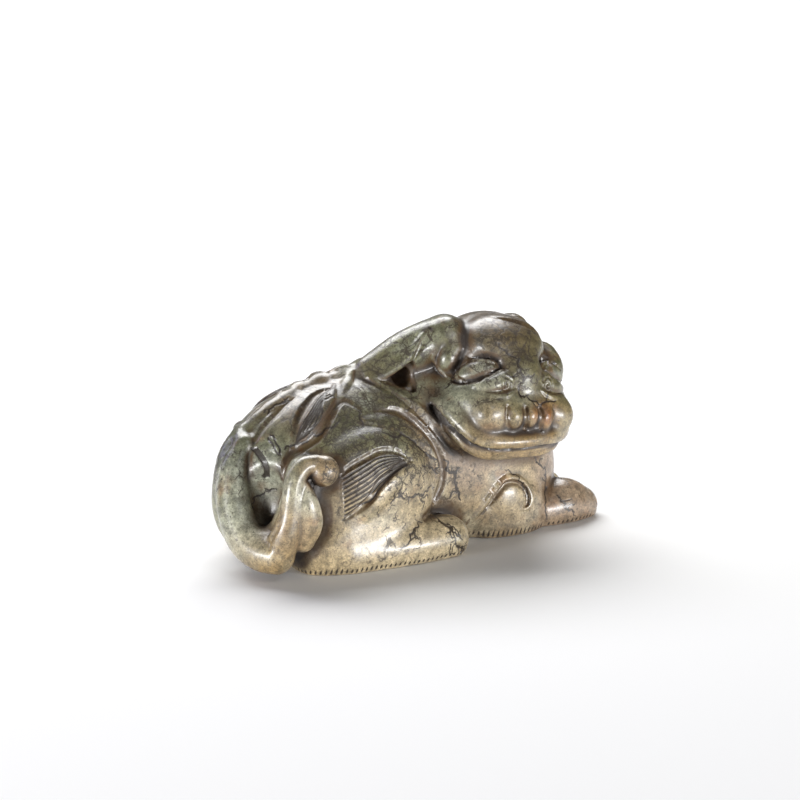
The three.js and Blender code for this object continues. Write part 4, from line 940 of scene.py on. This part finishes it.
# %%
# Split edges where the stone turns
MOST_TURN = math.radians(19)
SHORTEST = 0.36  # mm, edges below this are left alone
STROKE_EDGE = 0.26  # mm, edges near strokes are split down to about this
STROKE_REACH = 0.45
CURL_REACH = 3.2  # mm, round the curls beside the nose
ROUNDS = 3


def edges_of(triangles, count):
    """The edges of the mesh, and for each triangle the numbers of its own three."""
    pairs = np.sort(triangles[:, [[0, 1], [1, 2], [2, 0]]].reshape(-1, 2), axis=1)
    keys, numbers = np.unique(pairs[:, 0] * count + pairs[:, 1], return_inverse=True)
    return np.stack([keys // count, keys % count], 1), numbers.reshape(-1, 3)


def split_edges(points, triangles, edges, own, marked):
    """Adds a point at the middle of each marked edge and divides the triangles round it."""
    middle = np.full(len(edges), -1)
    middle[marked] = len(points) + np.arange(marked.sum())
    points = np.vstack([points, points[edges[marked]].mean(1)])
    marks = marked[own]
    count = marks.sum(1)
    # turn each triangle so that its first edge is marked, and of two marked edges the second too
    shift = np.where(count == 1, marks.argmax(1), np.where(count == 2, (marks.argmin(1) + 1) % 3, 0))
    order = (shift[:, None] + np.arange(3)) % 3
    corners = np.take_along_axis(triangles, order, 1)
    mids = middle[np.take_along_axis(own, order, 1)]
    (a, b, c), (p, q, r) = corners.T, mids.T
    cuts = {
        0: [(a, b, c)],
        1: [(a, p, c), (p, b, c)],
        2: [(p, b, q), (a, p, q), (a, q, c)],
        3: [(a, p, r), (p, b, q), (r, q, c), (p, q, r)],
    }
    parts = [np.stack(t, 1)[count == n] for n, ways in cuts.items() for t in ways]
    return points, np.vstack(parts)


def distance_to(points, lines, reach):
    """Distance to the nearest of several lines, worked out only within reach of each."""
    best = np.full(len(points), np.inf, np.float32)
    for line in lines:
        near = np.flatnonzero(((points > line.min(0) - reach) & (points < line.max(0) + reach)).all(1))
        if len(near):
            best[near] = np.minimum(best[near], nearest_on_line(points[near], line)[0])
    return best


def normals_at(points):
    way = stone.slope(points)
    return way / (np.linalg.norm(way, axis=1, keepdims=True) + TINY)


def refine(points, triangles):
    tick_reach = TICK_HEIGHT / 2 + 0.4
    raised_paths = [path + (0, 0, TICK_HEIGHT / 2) for path in tick_paths]
    cracks = [line for line, width in fissures]
    curls = [HEAD_AT + HEAD_TURN @ (CURL_EYE * (side, 1, 1)) for side in (1, -1)]
    normals = normals_at(points)
    for turn in range(ROUNDS):
        edges, own = edges_of(triangles, len(points))
        ends = points[edges]
        length = np.linalg.norm(ends[:, 0] - ends[:, 1], axis=1)
        cosine = (normals[edges[:, 0]] * normals[edges[:, 1]]).sum(1)
        turning = (cosine < math.cos(MOST_TURN)) & (length > SHORTEST)
        centre = ends.mean(1)
        near_stroke = distance_to(centre, strokes, STROKE_REACH) < STROKE_REACH
        near_tick = distance_to(centre, raised_paths, tick_reach) < tick_reach
        near_crack = distance_to(centre, cracks, STROKE_REACH) < STROKE_REACH
        near_curl = np.min([np.linalg.norm(centre - curl, axis=1) for curl in curls], axis=0) < CURL_REACH
        marked = turning | ((near_stroke | near_tick | near_crack | near_curl) & (length > STROKE_EDGE))
        before = len(points)
        points, triangles = split_edges(points, triangles, edges, own, marked)
        fresh = stone.lay(points[before:], turns=2, longest=0.2)
        points = np.vstack([points[:before], fresh])
        normals = np.vstack([normals, normals_at(fresh)])
        print("round", turn + 1, "triangles:", len(triangles))
    return points, triangles, normals


points, triangles, normals = refine(points, triangles)

# %% [markdown]
# ## What the skin knows about itself
# The bottoms of creases are darkened in the colour, partly for dirt and old wax and partly as
# painted shade, and handling polishes what stands proud. Both can be read from the depth field:
# step off the skin along its normal, and in a crease the depth grows less than the step.
# These become attributes that the material reads.

# %%
# Hollows and ridges
FINE_STEP = 0.5
WIDE_STEP = 3.0


def hollowness(step):
    return np.clip(1 - stone.depth(points + normals * step) / step, 0, 1)


hollow_fine = hollowness(FINE_STEP)
hollow_wide = hollowness(WIDE_STEP)
ridge = np.clip(1 + stone.depth(points - normals * FINE_STEP) / FINE_STEP, 0, 1)
print("share of the skin in fine creases:", round(float((hollow_fine > 0.3).mean()), 3))

# %% [markdown]
# ## Colours of the stone
# The real stone is not one colour. The cheek and the flank are sage green, the haunch and the
# feet have weathered to cream, the spine and the forehead are brown, and rust has crept in at a
# few spots. Soft patches of colour are laid in places on the stone, and where they overlap
# the stronger one wins by its share. A few patches are painted light, not the stone's own
# colour: a violet painted reflection in the pocket under the near ear, a painted highlight on
# the muzzle pad, and a pale band down the tail that is partly pale stone and partly a painted
# highlight. The noise in the material breaks them up later.

# %%
# Lay the patches of colour
SAGE = (0.19, 0.2, 0.125)
PALE_SAGE = (0.56, 0.57, 0.45)
OLIVE = (0.19, 0.18, 0.09)
DARK_OLIVE = (0.08, 0.085, 0.04)
BROWN = (0.145, 0.095, 0.048)
DARK_BROWN = (0.075, 0.05, 0.03)
TAN = (0.32, 0.23, 0.13)
PINK_TAN = (0.38, 0.27, 0.175)
BEIGE = (0.48, 0.37, 0.21)
CREAM = (0.6, 0.49, 0.31)
OCHRE = (0.36, 0.24, 0.1)
RUST = (0.33, 0.11, 0.025)
# a painted violet reflection, for the bluish light seen in the pocket under the near ear
PAINTED_VIOLET_REFLECTION = (0.09, 0.07, 0.15)
ALL_OVER = 0.03  # weight of the colour where no patch reaches
PATCHES = [
    (BROWN, (15, -16, 43), 7, 1), (OLIVE, (20, -20, 38), 5, 1), (SAGE, (2, -9, 35), 8, 1),
    (SAGE, (5, -15, 32), 6, 1), (TAN, (8, -24, 30), 3.5, 1.2), (OLIVE, (14, -23, 34), 3, 1),
    (RUST, (21.3, -25, 29.5), 1.7, 3), (OCHRE, (7, -22, 24.5), 4, 1), (OCHRE, (20, -24, 24), 5, 1),
    # the violet patch in the ear's pocket is a painted reflection
    (OLIVE, (-3, -5.5, 43), 6, 1.2), (SAGE, (4.4, -6, 46), 3, 1), (PAINTED_VIOLET_REFLECTION, (-1.3, -2.5, 35.2), 2.2, 4),
    (BROWN, (21, -8, 47), 7, 1), (OLIVE, (27, -14, 38), 5, 1), (PALE_SAGE, (4, -13, 30), 4, 1.2),
    (PINK_TAN, (11, -14, 18), 5, 1.2), (PINK_TAN, (6, -13, 22), 4, 1.2), (BEIGE, (17, -14, 13), 5, 1),
    (CREAM, (20, -14, 9), 3.5, 1.2), (TAN, (16, -14, 3), 5, 1), (PINK_TAN, (35, -12, 5), 7, 1),
    (RUST, (-3, -13, 28.5), 2.6, 1.1), (OCHRE, (0, -13.5, 26), 3, 1), (DARK_BROWN, (-10, -9, 34), 5, 1.4),
    (OLIVE, (-12, -15.5, 28), 5, 1.4), (DARK_OLIVE, (-18, -12, 30.4), 4, 1.6), (OLIVE, (-24, -12, 28), 4, 1),
    (BROWN, (-21, -20, 20), 3.6, 1.1), (CREAM, (-14, -21, 15), 5, 1), (BEIGE, (-5, -19, 13), 6, 1),
    (CREAM, (-3, -22, 5), 6, 1), (BEIGE, (-28, -20, 6), 7, 1), (CREAM, (-14, -22, 3), 7, 1),
    # the three pale sage patches down the back of the tail, from z 18 to z 8, paint a band that is partly
    # pale stone and partly a painted highlight
    (OLIVE, (-45, -3, 15), 3, 1.6), (PALE_SAGE, (-41.5, -5, 18), 2.6, 1.6),
    (PALE_SAGE, (-42, -7, 12), 2.6, 1.6), (PALE_SAGE, (-41.5, -12, 8), 2.6, 1.2),
    (OCHRE, (-41, -17, 4), 5, 1.2), (PALE_SAGE, (-36.8, -8, 18), 4, 1.5),
    (SAGE, (-33, -7, 28), 5, 1.2), (BROWN, (-28, -7, 31), 3.5, 1.4), (BROWN, (-19, -1, 36), 6, 1.3),
    (BROWN, (-30, 0, 33), 5, 1.2), (TAN, (-36, -22, 11), 3.5, 1.3), (PALE_SAGE, (-34, -20, 17), 2, 1.2),
    (TAN, (-29, -22, 23), 2.6, 1.6), (DARK_OLIVE, (-40, 3, 26), 5, 1), (SAGE, (-38, 10, 14), 8, 0.8),
    (SAGE, (-12, 16, 24), 8, 1), (CREAM, (-10, 21, 8), 8, 1), (BEIGE, (-28, 18, 6), 8, 1),
    (OLIVE, (-20, 12, 30), 6, 1), (PINK_TAN, (12, 14, 16), 8, 1), (BEIGE, (18, 14, 6), 6, 1),
    (BROWN, (8, 10, 33), 6, 1), (SAGE, (28, 10, 28), 7, 1), (OCHRE, (1, 15, 24), 4, 0.8),
    (PINK_TAN, (34, 0, 14), 7, 1), (CREAM, (38, 8, 5), 6, 1), (OLIVE, (24, 10, 38), 6, 1),
    # the cream patch on the muzzle pad is a painted highlight
    (PALE_SAGE, (10.5, -17, 37.5), 2.6, 1.5), (CREAM, (10.5, -21.5, 28.5), 2, 1),
    (OLIVE, (-8, -10, 34), 4.5, 1.2),
    (PALE_SAGE, (18, -21, 34), 2, 0.8),
]
CRACKLE_BASE = 0.08
CRACKLED = [
    ((-14, -15, 28), 7, 1), ((-18, -12, 30), 5, 1), ((-4, -14, 25), 5, 0.9),
    ((-3, -5.5, 43), 6, 0.6), ((15, -16, 43), 7, 0.8), ((-24, -6, 32), 5, 0.7),
    ((-42, 2, 22), 6, 0.5), ((-12, -22, 6), 8, 0.25), ((-14, 16, 27), 8, 0.7),
    ((-29, -21, 23), 3, 0.5), ((18, 10, 38), 7, 0.5), ((5, -14, 15), 4, 0.4),
]


def patch_weight(place, radius):
    away = ((points - np.float32(place)) ** 2).sum(1)
    return np.exp(-away / (2 * radius**2))


def lay_patches():
    total = np.full((len(points), 1), ALL_OVER)
    colour = total * SAGE
    for tone, place, radius, strength in PATCHES:
        weight = patch_weight(place, radius)[:, None] * strength
        colour = colour + weight * tone
        total = total + weight
    return colour / total


def lay_crackle():
    mask = np.full(len(points), CRACKLE_BASE)
    for place, radius, strength in CRACKLED:
        mask += patch_weight(place, radius) * strength
    return np.clip(mask, 0, 1)


def fissure_gap():
    """Millimetres from each point to the edge of the nearest fissure, negative inside."""
    gap = np.ones(len(points), np.float32)
    for line, width in fissures:
        taper = np.sin(np.linspace(0, math.pi, len(line))) ** 0.5
        whole = np.column_stack([line, width * (0.25 + 0.75 * taper) / 2])
        near = np.flatnonzero(((points > line.min(0) - 1) & (points < line.max(0) + 1)).all(1))
        gap[near] = np.minimum(gap[near], -inside_band(points[near], whole))
    return gap


tint = lay_patches()
crackle = lay_crackle()
gap = fissure_gap()
print("mean colour:", np.round(tint.mean(0), 3), "skin in fissures:", round(float((gap < 0).mean()), 4))

# %% [markdown]
# ## From arrays to a Blender mesh
# The carving is moved to the model's frame in metres. It has to stay inside the box of the
# plain solid, so any side that stands out by a hair is drawn in.

# %%
# Make the mesh
def in_box(points):
    """Metres in the model's frame, fitted into the model's box."""
    co = (points - (*MIDDLE, 0)) * MM
    low, high = np.array(CAD_BOX[0]), np.array(CAD_BOX[1])
    own_low, own_high = co.min(0), co.max(0)
    share = np.minimum(1, (high - low) / (own_high - own_low))
    print("drawn in by:", np.round(1 - share, 4))
    return (co - (own_low + own_high) / 2) * share + (low + high) / 2


def make_mesh(name, co, triangles):
    mesh = bpy.data.meshes.new(name)
    mesh.vertices.add(len(co))
    mesh.vertices.foreach_set("co", co.astype(np.float32).ravel())
    mesh.loops.add(triangles.size)
    mesh.loops.foreach_set("vertex_index", triangles.astype(np.int32).ravel())
    mesh.polygons.add(len(triangles))
    mesh.polygons.foreach_set("loop_start", np.arange(0, triangles.size, 3, dtype=np.int32))
    mesh.update(calc_edges=True)
    mesh.validate()
    mesh.shade_smooth()
    return mesh


def add_object(name, mesh):
    thing = bpy.data.objects.new(name, mesh)
    bpy.context.scene.collection.objects.link(thing)
    return thing


def store(mesh, name, values):
    mesh.attributes.new(name, "FLOAT", "POINT").data.foreach_set("value", values.astype(np.float32))


lion = add_object("lion", make_mesh("lion", in_box(points), triangles))
for name, values in (("hollow_fine", hollow_fine), ("hollow_wide", hollow_wide), ("ridge", ridge),
                     ("crackle", crackle), ("gap", gap)):
    store(lion.data, name, values)
colours = np.column_stack([tint, np.ones(len(tint))]).astype(np.float32)
lion.data.attributes.new("tint", "FLOAT_COLOR", "POINT").data.foreach_set("color", colours.ravel())
print("lion:", len(lion.data.vertices), "points,", len(lion.data.polygons), "triangles")

# %% [markdown]
# ## Cutting the strokes with Geometry Nodes
# One tree does both jobs. It takes the strokes of hair as they are, and makes the ticks by
# standing a short line at even steps along each path. Then it measures how far each point of
# the stone is from the nearest line, and sinks it along its normal where it is close.

# %%
# Sizes of the cuts, and lines as objects
STROKE_HALF = 0.32
STROKE_DEPTH = 0.2
TICK_LEAN = 0.35


def line_object(name, lines):
    """Open lines as the edges of one mesh."""
    places, edges = [], []
    for line in lines:
        start = len(places)
        places += [to_metres(p) for p in line.tolist()]
        edges += [(i, i + 1) for i in range(start, len(places) - 1)]
    mesh = bpy.data.meshes.new(name)
    mesh.from_pydata(places, edges, [])
    return bpy.data.objects.new(name, mesh)


print("strokes are cut, mm:", 2 * STROKE_HALF, "wide and", STROKE_DEPTH, "deep")


# %% [markdown]
# Long chains of maths nodes are hard to read when each link takes a line. A small class wraps
# an output socket, so that Python's own signs make the nodes. A second one adds a node and
# fills its inputs by name, or by number where names repeat.

# %%
# Write node maths in Python
def add_input(tree, name, kind, value=None):
    socket = tree.interface.new_socket(name, in_out="INPUT", socket_type=kind)
    if value is not None:
        socket.default_value = value
    return socket.identifier


class Sock:
    """An output in a node tree that Python's own operators can work on."""

    def __init__(self, maker, socket):
        self.maker, self.socket = maker, socket

    def math(self, operation, *values):
        inputs = {f"_{i}": value for i, value in enumerate(values)}
        return self.maker("ShaderNodeMath", {"operation": operation}, **inputs)

    def __add__(self, other):
        return self.math("ADD", self, other)

    def __sub__(self, other):
        return self.math("SUBTRACT", self, other)

    def __mul__(self, other):
        return self.math("MULTIPLY", self, other)

    def __neg__(self):
        return self * -1.0

    __radd__ = __add__
    __rmul__ = __mul__

    def between(self, low, high, bottom=0.0, top=1.0):
        """Eased from bottom to top while this goes from low to high, and held outside."""
        return self.maker("ShaderNodeMapRange", {"interpolation_type": "SMOOTHSTEP"}, Value=self,
                          From_Min=low, From_Max=high, To_Min=bottom, To_Max=top)


class Maker:
    """Adds nodes to a tree: settings first, then a value or a link for each named input."""

    def __init__(self, tree):
        self.tree = tree

    def __call__(self, kind, settings=None, out=0, **inputs):
        node = self.tree.nodes.new(kind)
        for key, value in (settings or {}).items():
            setattr(node, key, value)
        for key, value in inputs.items():
            shown = [s for s in node.inputs if s.enabled]
            socket = shown[int(key[1:])] if key[1:].isdigit() else node.inputs[key.replace("_", " ")]
            if isinstance(value, Sock):
                self.tree.links.new(value.socket, socket)
            else:
                socket.default_value = value
        if not node.outputs:
            return node
        own = [s for s in node.outputs if s.enabled][out] if isinstance(out, int) else node.outputs[out]
        return Sock(self, own)


print("node helpers:", Sock.__name__, "and", Maker.__name__)


# %%
# Build the tree
def build_stroke_cutter():
    tree = bpy.data.node_groups.new("cut fine lines", "GeometryNodeTree")
    ids = {
        "stone": add_input(tree, "Stone", "NodeSocketGeometry"),
        "strokes": add_input(tree, "Strokes", "NodeSocketObject"),
        "paths": add_input(tree, "Tick paths", "NodeSocketObject"),
        "material": add_input(tree, "Material", "NodeSocketMaterial"),
    }
    for key, value in (("Pitch", TICK_PITCH), ("Height", TICK_HEIGHT), ("Lean", TICK_LEAN),
                       ("Half width", STROKE_HALF), ("Depth", STROKE_DEPTH)):
        ids[key] = add_input(tree, key, "NodeSocketFloat", value * MM)
    tree.interface.new_socket("Stone", in_out="OUTPUT", socket_type="NodeSocketGeometry")
    add = Maker(tree)
    group = tree.nodes.new("NodeGroupInput")
    given = {socket.name: Sock(add, socket) for socket in group.outputs}
    strokes = add("GeometryNodeObjectInfo", out="Geometry", _0=given["Strokes"])
    paths = add("GeometryNodeObjectInfo", out="Geometry", _0=given["Tick paths"])

    curve = add("GeometryNodeMeshToCurve", Mesh=paths)
    steps = add("GeometryNodeCurveToPoints", {"mode": "LENGTH"}, Curve=curve, Length=given["Pitch"])
    tangent = Sock(add, steps.socket.node.outputs["Tangent"])
    top = add("ShaderNodeCombineXYZ", X=given["Lean"], Z=given["Height"])
    tick = add("GeometryNodeMeshLine", {"mode": "END_POINTS"}, Count=2, Offset=top)
    facing = add("FunctionNodeAlignRotationToVector", {"axis": "X"}, Vector=tangent)
    ticks = add("GeometryNodeInstanceOnPoints", Points=steps, Instance=tick, Rotation=facing)
    ticks = add("GeometryNodeRealizeInstances", Geometry=ticks)

    both = add("GeometryNodeJoinGeometry", Geometry=strokes)
    tree.links.new(ticks.socket, both.socket.node.inputs[0])
    near = add("GeometryNodeProximity", {"target_element": "EDGES"}, out="Distance", _0=both)
    cut = near.between(0.0, given["Half width"], 1.0, 0.0)
    normal = add("GeometryNodeInputNormal")
    down = -(cut * given["Depth"])
    offset = add("ShaderNodeVectorMath", {"operation": "SCALE"}, Vector=normal, Scale=down)
    marked = add("GeometryNodeStoreNamedAttribute", {"data_type": "FLOAT", "domain": "POINT"},
                 Geometry=given["Stone"], Name="cut", Value=cut)
    sunk = add("GeometryNodeSetPosition", Geometry=marked, Offset=offset)
    whole = add("GeometryNodeRealizeInstances", Geometry=sunk)
    dressed = add("GeometryNodeSetMaterial", Geometry=whole, Material=given["Material"])
    add("NodeGroupOutput", _0=dressed)
    return tree, ids


cutter, cutter_ids = build_stroke_cutter()
print("nodes in the stroke cutter:", len(cutter.nodes))

# %%
# Cut the strokes
def apply_cutter(thing, material):
    """Runs the tree on the stone and keeps its result as a plain mesh."""
    helpers = [line_object("strokes", strokes), line_object("tick paths", tick_paths)]
    for helper in helpers:
        bpy.context.scene.collection.objects.link(helper)
    modifier = thing.modifiers.new("cut", "NODES")
    modifier.node_group = cutter
    modifier[cutter_ids["strokes"]] = helpers[0]
    modifier[cutter_ids["paths"]] = helpers[1]
    modifier[cutter_ids["material"]] = material
    graph = bpy.context.evaluated_depsgraph_get()
    mesh = bpy.data.meshes.new_from_object(thing.evaluated_get(graph), preserve_all_data_layers=True,
                                           depsgraph=graph)
    thing.modifiers.remove(modifier)
    old, thing.data = thing.data, mesh
    bpy.data.meshes.remove(old)
    for helper in helpers:
        bpy.data.objects.remove(helper)
    mesh.shade_smooth()
    return mesh


jade = bpy.data.materials.new("jade")
apply_cutter(lion, jade)
print("after cutting:", len(lion.data.polygons), "triangles")

# %% [markdown]
# ## Jade
# The material starts from the patches of colour and makes them uneven at three scales: slow
# clouds, mottling and fine dark grains. A net of hair cracks comes from the borders of
# Voronoi cells, pushed about by noise so that no border is straight. Fissures are filled with
# dark brown dirt, and strokes and hollows get the same dark brown, partly as dirt and partly as
# painted shade. The polish is a soft one under a thin clear coat, and a fine grain in the bump
# breaks up the highlights as it does on stone. Everything is measured in millimetres on the
# object itself, so the pattern stays put from every side.

# %%
# Mix the jade
# dark brown for dirt in the fissures, and for dirt and painted shade in hollows and cuts
DIRT_AND_SHADE = (0.022, 0.013, 0.008, 1)
HAIR_CRACK = (0.035, 0.024, 0.014, 1)
PALE_CLOUD = (0.5, 0.53, 0.42, 1)
PATINA = (0.095, 0.052, 0.02, 1)
STAIN = (0.26, 0.12, 0.04, 1)


class Paint:
    """Short names for the nodes that the jade needs."""

    def __init__(self, material):
        material.use_nodes = True
        self.add = Maker(material.node_tree)
        self.shader = material.node_tree.nodes["Principled BSDF"]
        place = self.add("ShaderNodeTexCoord", out="Object")
        self.mm = self.add("ShaderNodeVectorMath", {"operation": "SCALE"}, Vector=place, Scale=1 / MM)

    def attribute(self, name, out="Fac"):
        return self.add("ShaderNodeAttribute", {"attribute_name": name}, out=out)

    def noise(self, scale, detail, out="Fac", **inputs):
        return self.add("ShaderNodeTexNoise", out=out, Vector=self.mm, Scale=scale, Detail=detail, **inputs)

    def pushed(self, scale, far):
        """Places moved about by noise, up to about half of far in each direction."""
        push = self.noise(scale, 3.0, out="Color")
        centred = self.add("ShaderNodeVectorMath", {"operation": "SUBTRACT"}, _0=push, _1=(0.5, 0.5, 0.5))
        scaled = self.add("ShaderNodeVectorMath", {"operation": "SCALE"}, Vector=centred, Scale=far)
        return self.add("ShaderNodeVectorMath", {"operation": "ADD"}, _0=self.mm, _1=scaled)

    def borders(self, cell, place):
        """Millimetres to the nearest border between cells of about the given size."""
        edge = self.add("ShaderNodeTexVoronoi", {"feature": "DISTANCE_TO_EDGE"}, Vector=place,
                        Scale=1 / cell)
        return edge * cell

    def mix(self, factor, a, b):
        return self.add("ShaderNodeMix", {"data_type": "RGBA"}, _0=factor, _1=a, _2=b)

    def set(self, name, value):
        socket = self.shader.inputs[name]
        if isinstance(value, Sock):
            self.add.tree.links.new(value.socket, socket)
        else:
            socket.default_value = value


def mix_jade(material):
    paint = Paint(material)
    tint = paint.attribute("tint", "Color")
    fine, wide = paint.attribute("hollow_fine"), paint.attribute("hollow_wide")
    ridge, cut = paint.attribute("ridge"), paint.attribute("cut")
    crackle, gap = paint.attribute("crackle"), paint.attribute("gap")

    cloud = paint.noise(0.11, 4.0)
    mottle = paint.noise(0.55, 6.0, Roughness=0.65)
    grain = paint.noise(2.4, 5.0, Roughness=0.7)
    sand = paint.noise(3.6, 2.0, Roughness=0.6)
    stone_colour = paint.mix(cloud.between(0.52, 0.72, 0.0, 0.3), tint, PALE_CLOUD)
    stone_colour = paint.mix(paint.noise(0.2, 5.0).between(0.56, 0.75, 0.0, 0.6), stone_colour, STAIN)
    shade = mottle.between(0.28, 0.72, 0.42, 1.12) * grain.between(0.3, 0.7, 0.66, 1.34)
    shade = shade * ridge.between(0.3, 0.8, 1.0, 1.3)
    grey = paint.add("ShaderNodeCombineXYZ", X=shade, Y=shade, Z=shade)
    stone_colour = paint.add("ShaderNodeVectorMath", {"operation": "MULTIPLY"}, _0=stone_colour, _1=grey)
    spots = paint.noise(1.8, 4.0).between(0.6, 0.7, 0.0, 0.7)
    stone_colour = paint.mix(spots, stone_colour, HAIR_CRACK)

    coarse = paint.borders(2.6, paint.pushed(0.9, 2.4))
    hair = paint.borders(1.2, paint.pushed(1.6, 1.2))
    patchy = paint.noise(0.35, 3.0)
    reach = crackle * 1.3 + patchy.between(0.35, 0.7, -0.35, 0.35)
    nets = coarse.between(0.07, 0.26, 1.0, 0.0) * reach.between(0.25, 0.65)
    nets = nets.math("MAXIMUM", nets, hair.between(0.03, 0.12, 0.9, 0.0) * reach.between(0.6, 1.1))
    stone_colour = paint.mix(nets * 0.9, stone_colour, HAIR_CRACK)

    patina = wide.between(0.06, 0.42, 0.0, 0.9) * mottle.between(0.3, 0.65, 0.5, 1.2)
    stone_colour = paint.mix(patina, stone_colour, PATINA)
    # darkening in hollows and cuts: partly dirt, partly painted shade, the wide hollows most of all
    dirt_and_shade = fine.between(0.1, 0.4) * 0.95 + wide.between(0.3, 0.8, 0.0, 0.55) + cut.between(0.0, 0.5) * 0.95
    dirt_and_shade = (dirt_and_shade * mottle.between(0.3, 0.7, 0.75, 1.2)).math("MINIMUM", dirt_and_shade, 0.94)
    stone_colour = paint.mix(dirt_and_shade, stone_colour, DIRT_AND_SHADE)
    crack = (gap + (grain - 0.5) * 0.25).between(0.0, 0.2, 1.0, 0.0)
    stone_colour = paint.mix(crack * 0.95, stone_colour, DIRT_AND_SHADE)

    paint.set("Base Color", stone_colour)
    paint.set("Roughness", paint.noise(0.8, 4.0).between(0.3, 0.7, 0.28, 0.4) + nets * 0.2 + dirt_and_shade * 0.2)
    paint.set("IOR", 1.62)
    paint.set("Coat Weight", 0.5)
    paint.set("Coat Roughness", 0.2)
    height = (grain - 0.5) * 0.15 + (sand - 0.5) * 0.22 - nets * 0.12 - crack * 0.3
    bump = paint.add("ShaderNodeBump", Strength=1.0, Distance=0.2 * MM, Height=height)
    paint.set("Normal", bump)


mix_jade(jade)
print("nodes in the jade:", len(jade.node_tree.nodes))

# %% [markdown]
# ## Table and light
# The lion stands on a plain white table. A large panel behind it lights the table, so its
# shadow falls towards the camera. Two low boxes, to the right of the camera and at the far
# left, draw the long highlights on the polish. A weak box above the camera fills in, and a
# violet one behind gives a bluish rim.

# %%
# Floor, softboxes and world
FLOOR_SIZE = 6  # m
FLOOR_GREY = 0.9


def make_floor():
    bpy.ops.mesh.primitive_plane_add(size=FLOOR_SIZE, location=(0, 0, 0))
    floor = bpy.context.object
    floor.name = "floor"
    paper = bpy.data.materials.new("white paper")
    paper.use_nodes = True
    shader = paper.node_tree.nodes["Principled BSDF"]
    shader.inputs["Base Color"].default_value = (FLOOR_GREY, FLOOR_GREY, FLOOR_GREY, 1)
    shader.inputs["Roughness"].default_value = 0.9
    floor.data.materials.append(paper)
    return floor


def softbox(name, turn, rise, distance, size, power, color=(1, 1, 1)):
    data = bpy.data.lights.new(name, "AREA")
    data.shape = "RECTANGLE"
    data.size, data.size_y = size
    data.energy = power
    data.color = color
    light = bpy.data.objects.new(name, data)
    bpy.context.scene.collection.objects.link(light)
    light.location = direction(math.radians(turn), math.radians(rise)) * distance
    aim(light, Vector((0, 0, 0.02)))
    return light


def light_world(strength):
    world = bpy.data.worlds.new("studio")
    bpy.context.scene.world = world
    world.use_nodes = True
    background = world.node_tree.nodes["Background"]
    background.inputs["Color"].default_value = (1, 1, 1, 1)
    background.inputs["Strength"].default_value = strength


floor = make_floor()
light_world(0.03)
softbox("rear panel", 165, 50, 0.9, (0.9, 0.55), 12)
softbox("right box", 20, 4, 0.7, (0.36, 0.09), 3.9)
softbox("left box", -78, 6, 0.6, (0.22, 0.12), 2.7)
softbox("top box", 5, 45, 0.6, (0.16, 0.12), 0.25)
softbox("violet rim", -150, 25, 0.7, (0.2, 0.3), 0.5, (0.62, 0.6, 1))
bpy.context.scene.view_settings.view_transform = "Standard"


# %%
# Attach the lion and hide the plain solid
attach(lion, "root")
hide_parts(NODE)
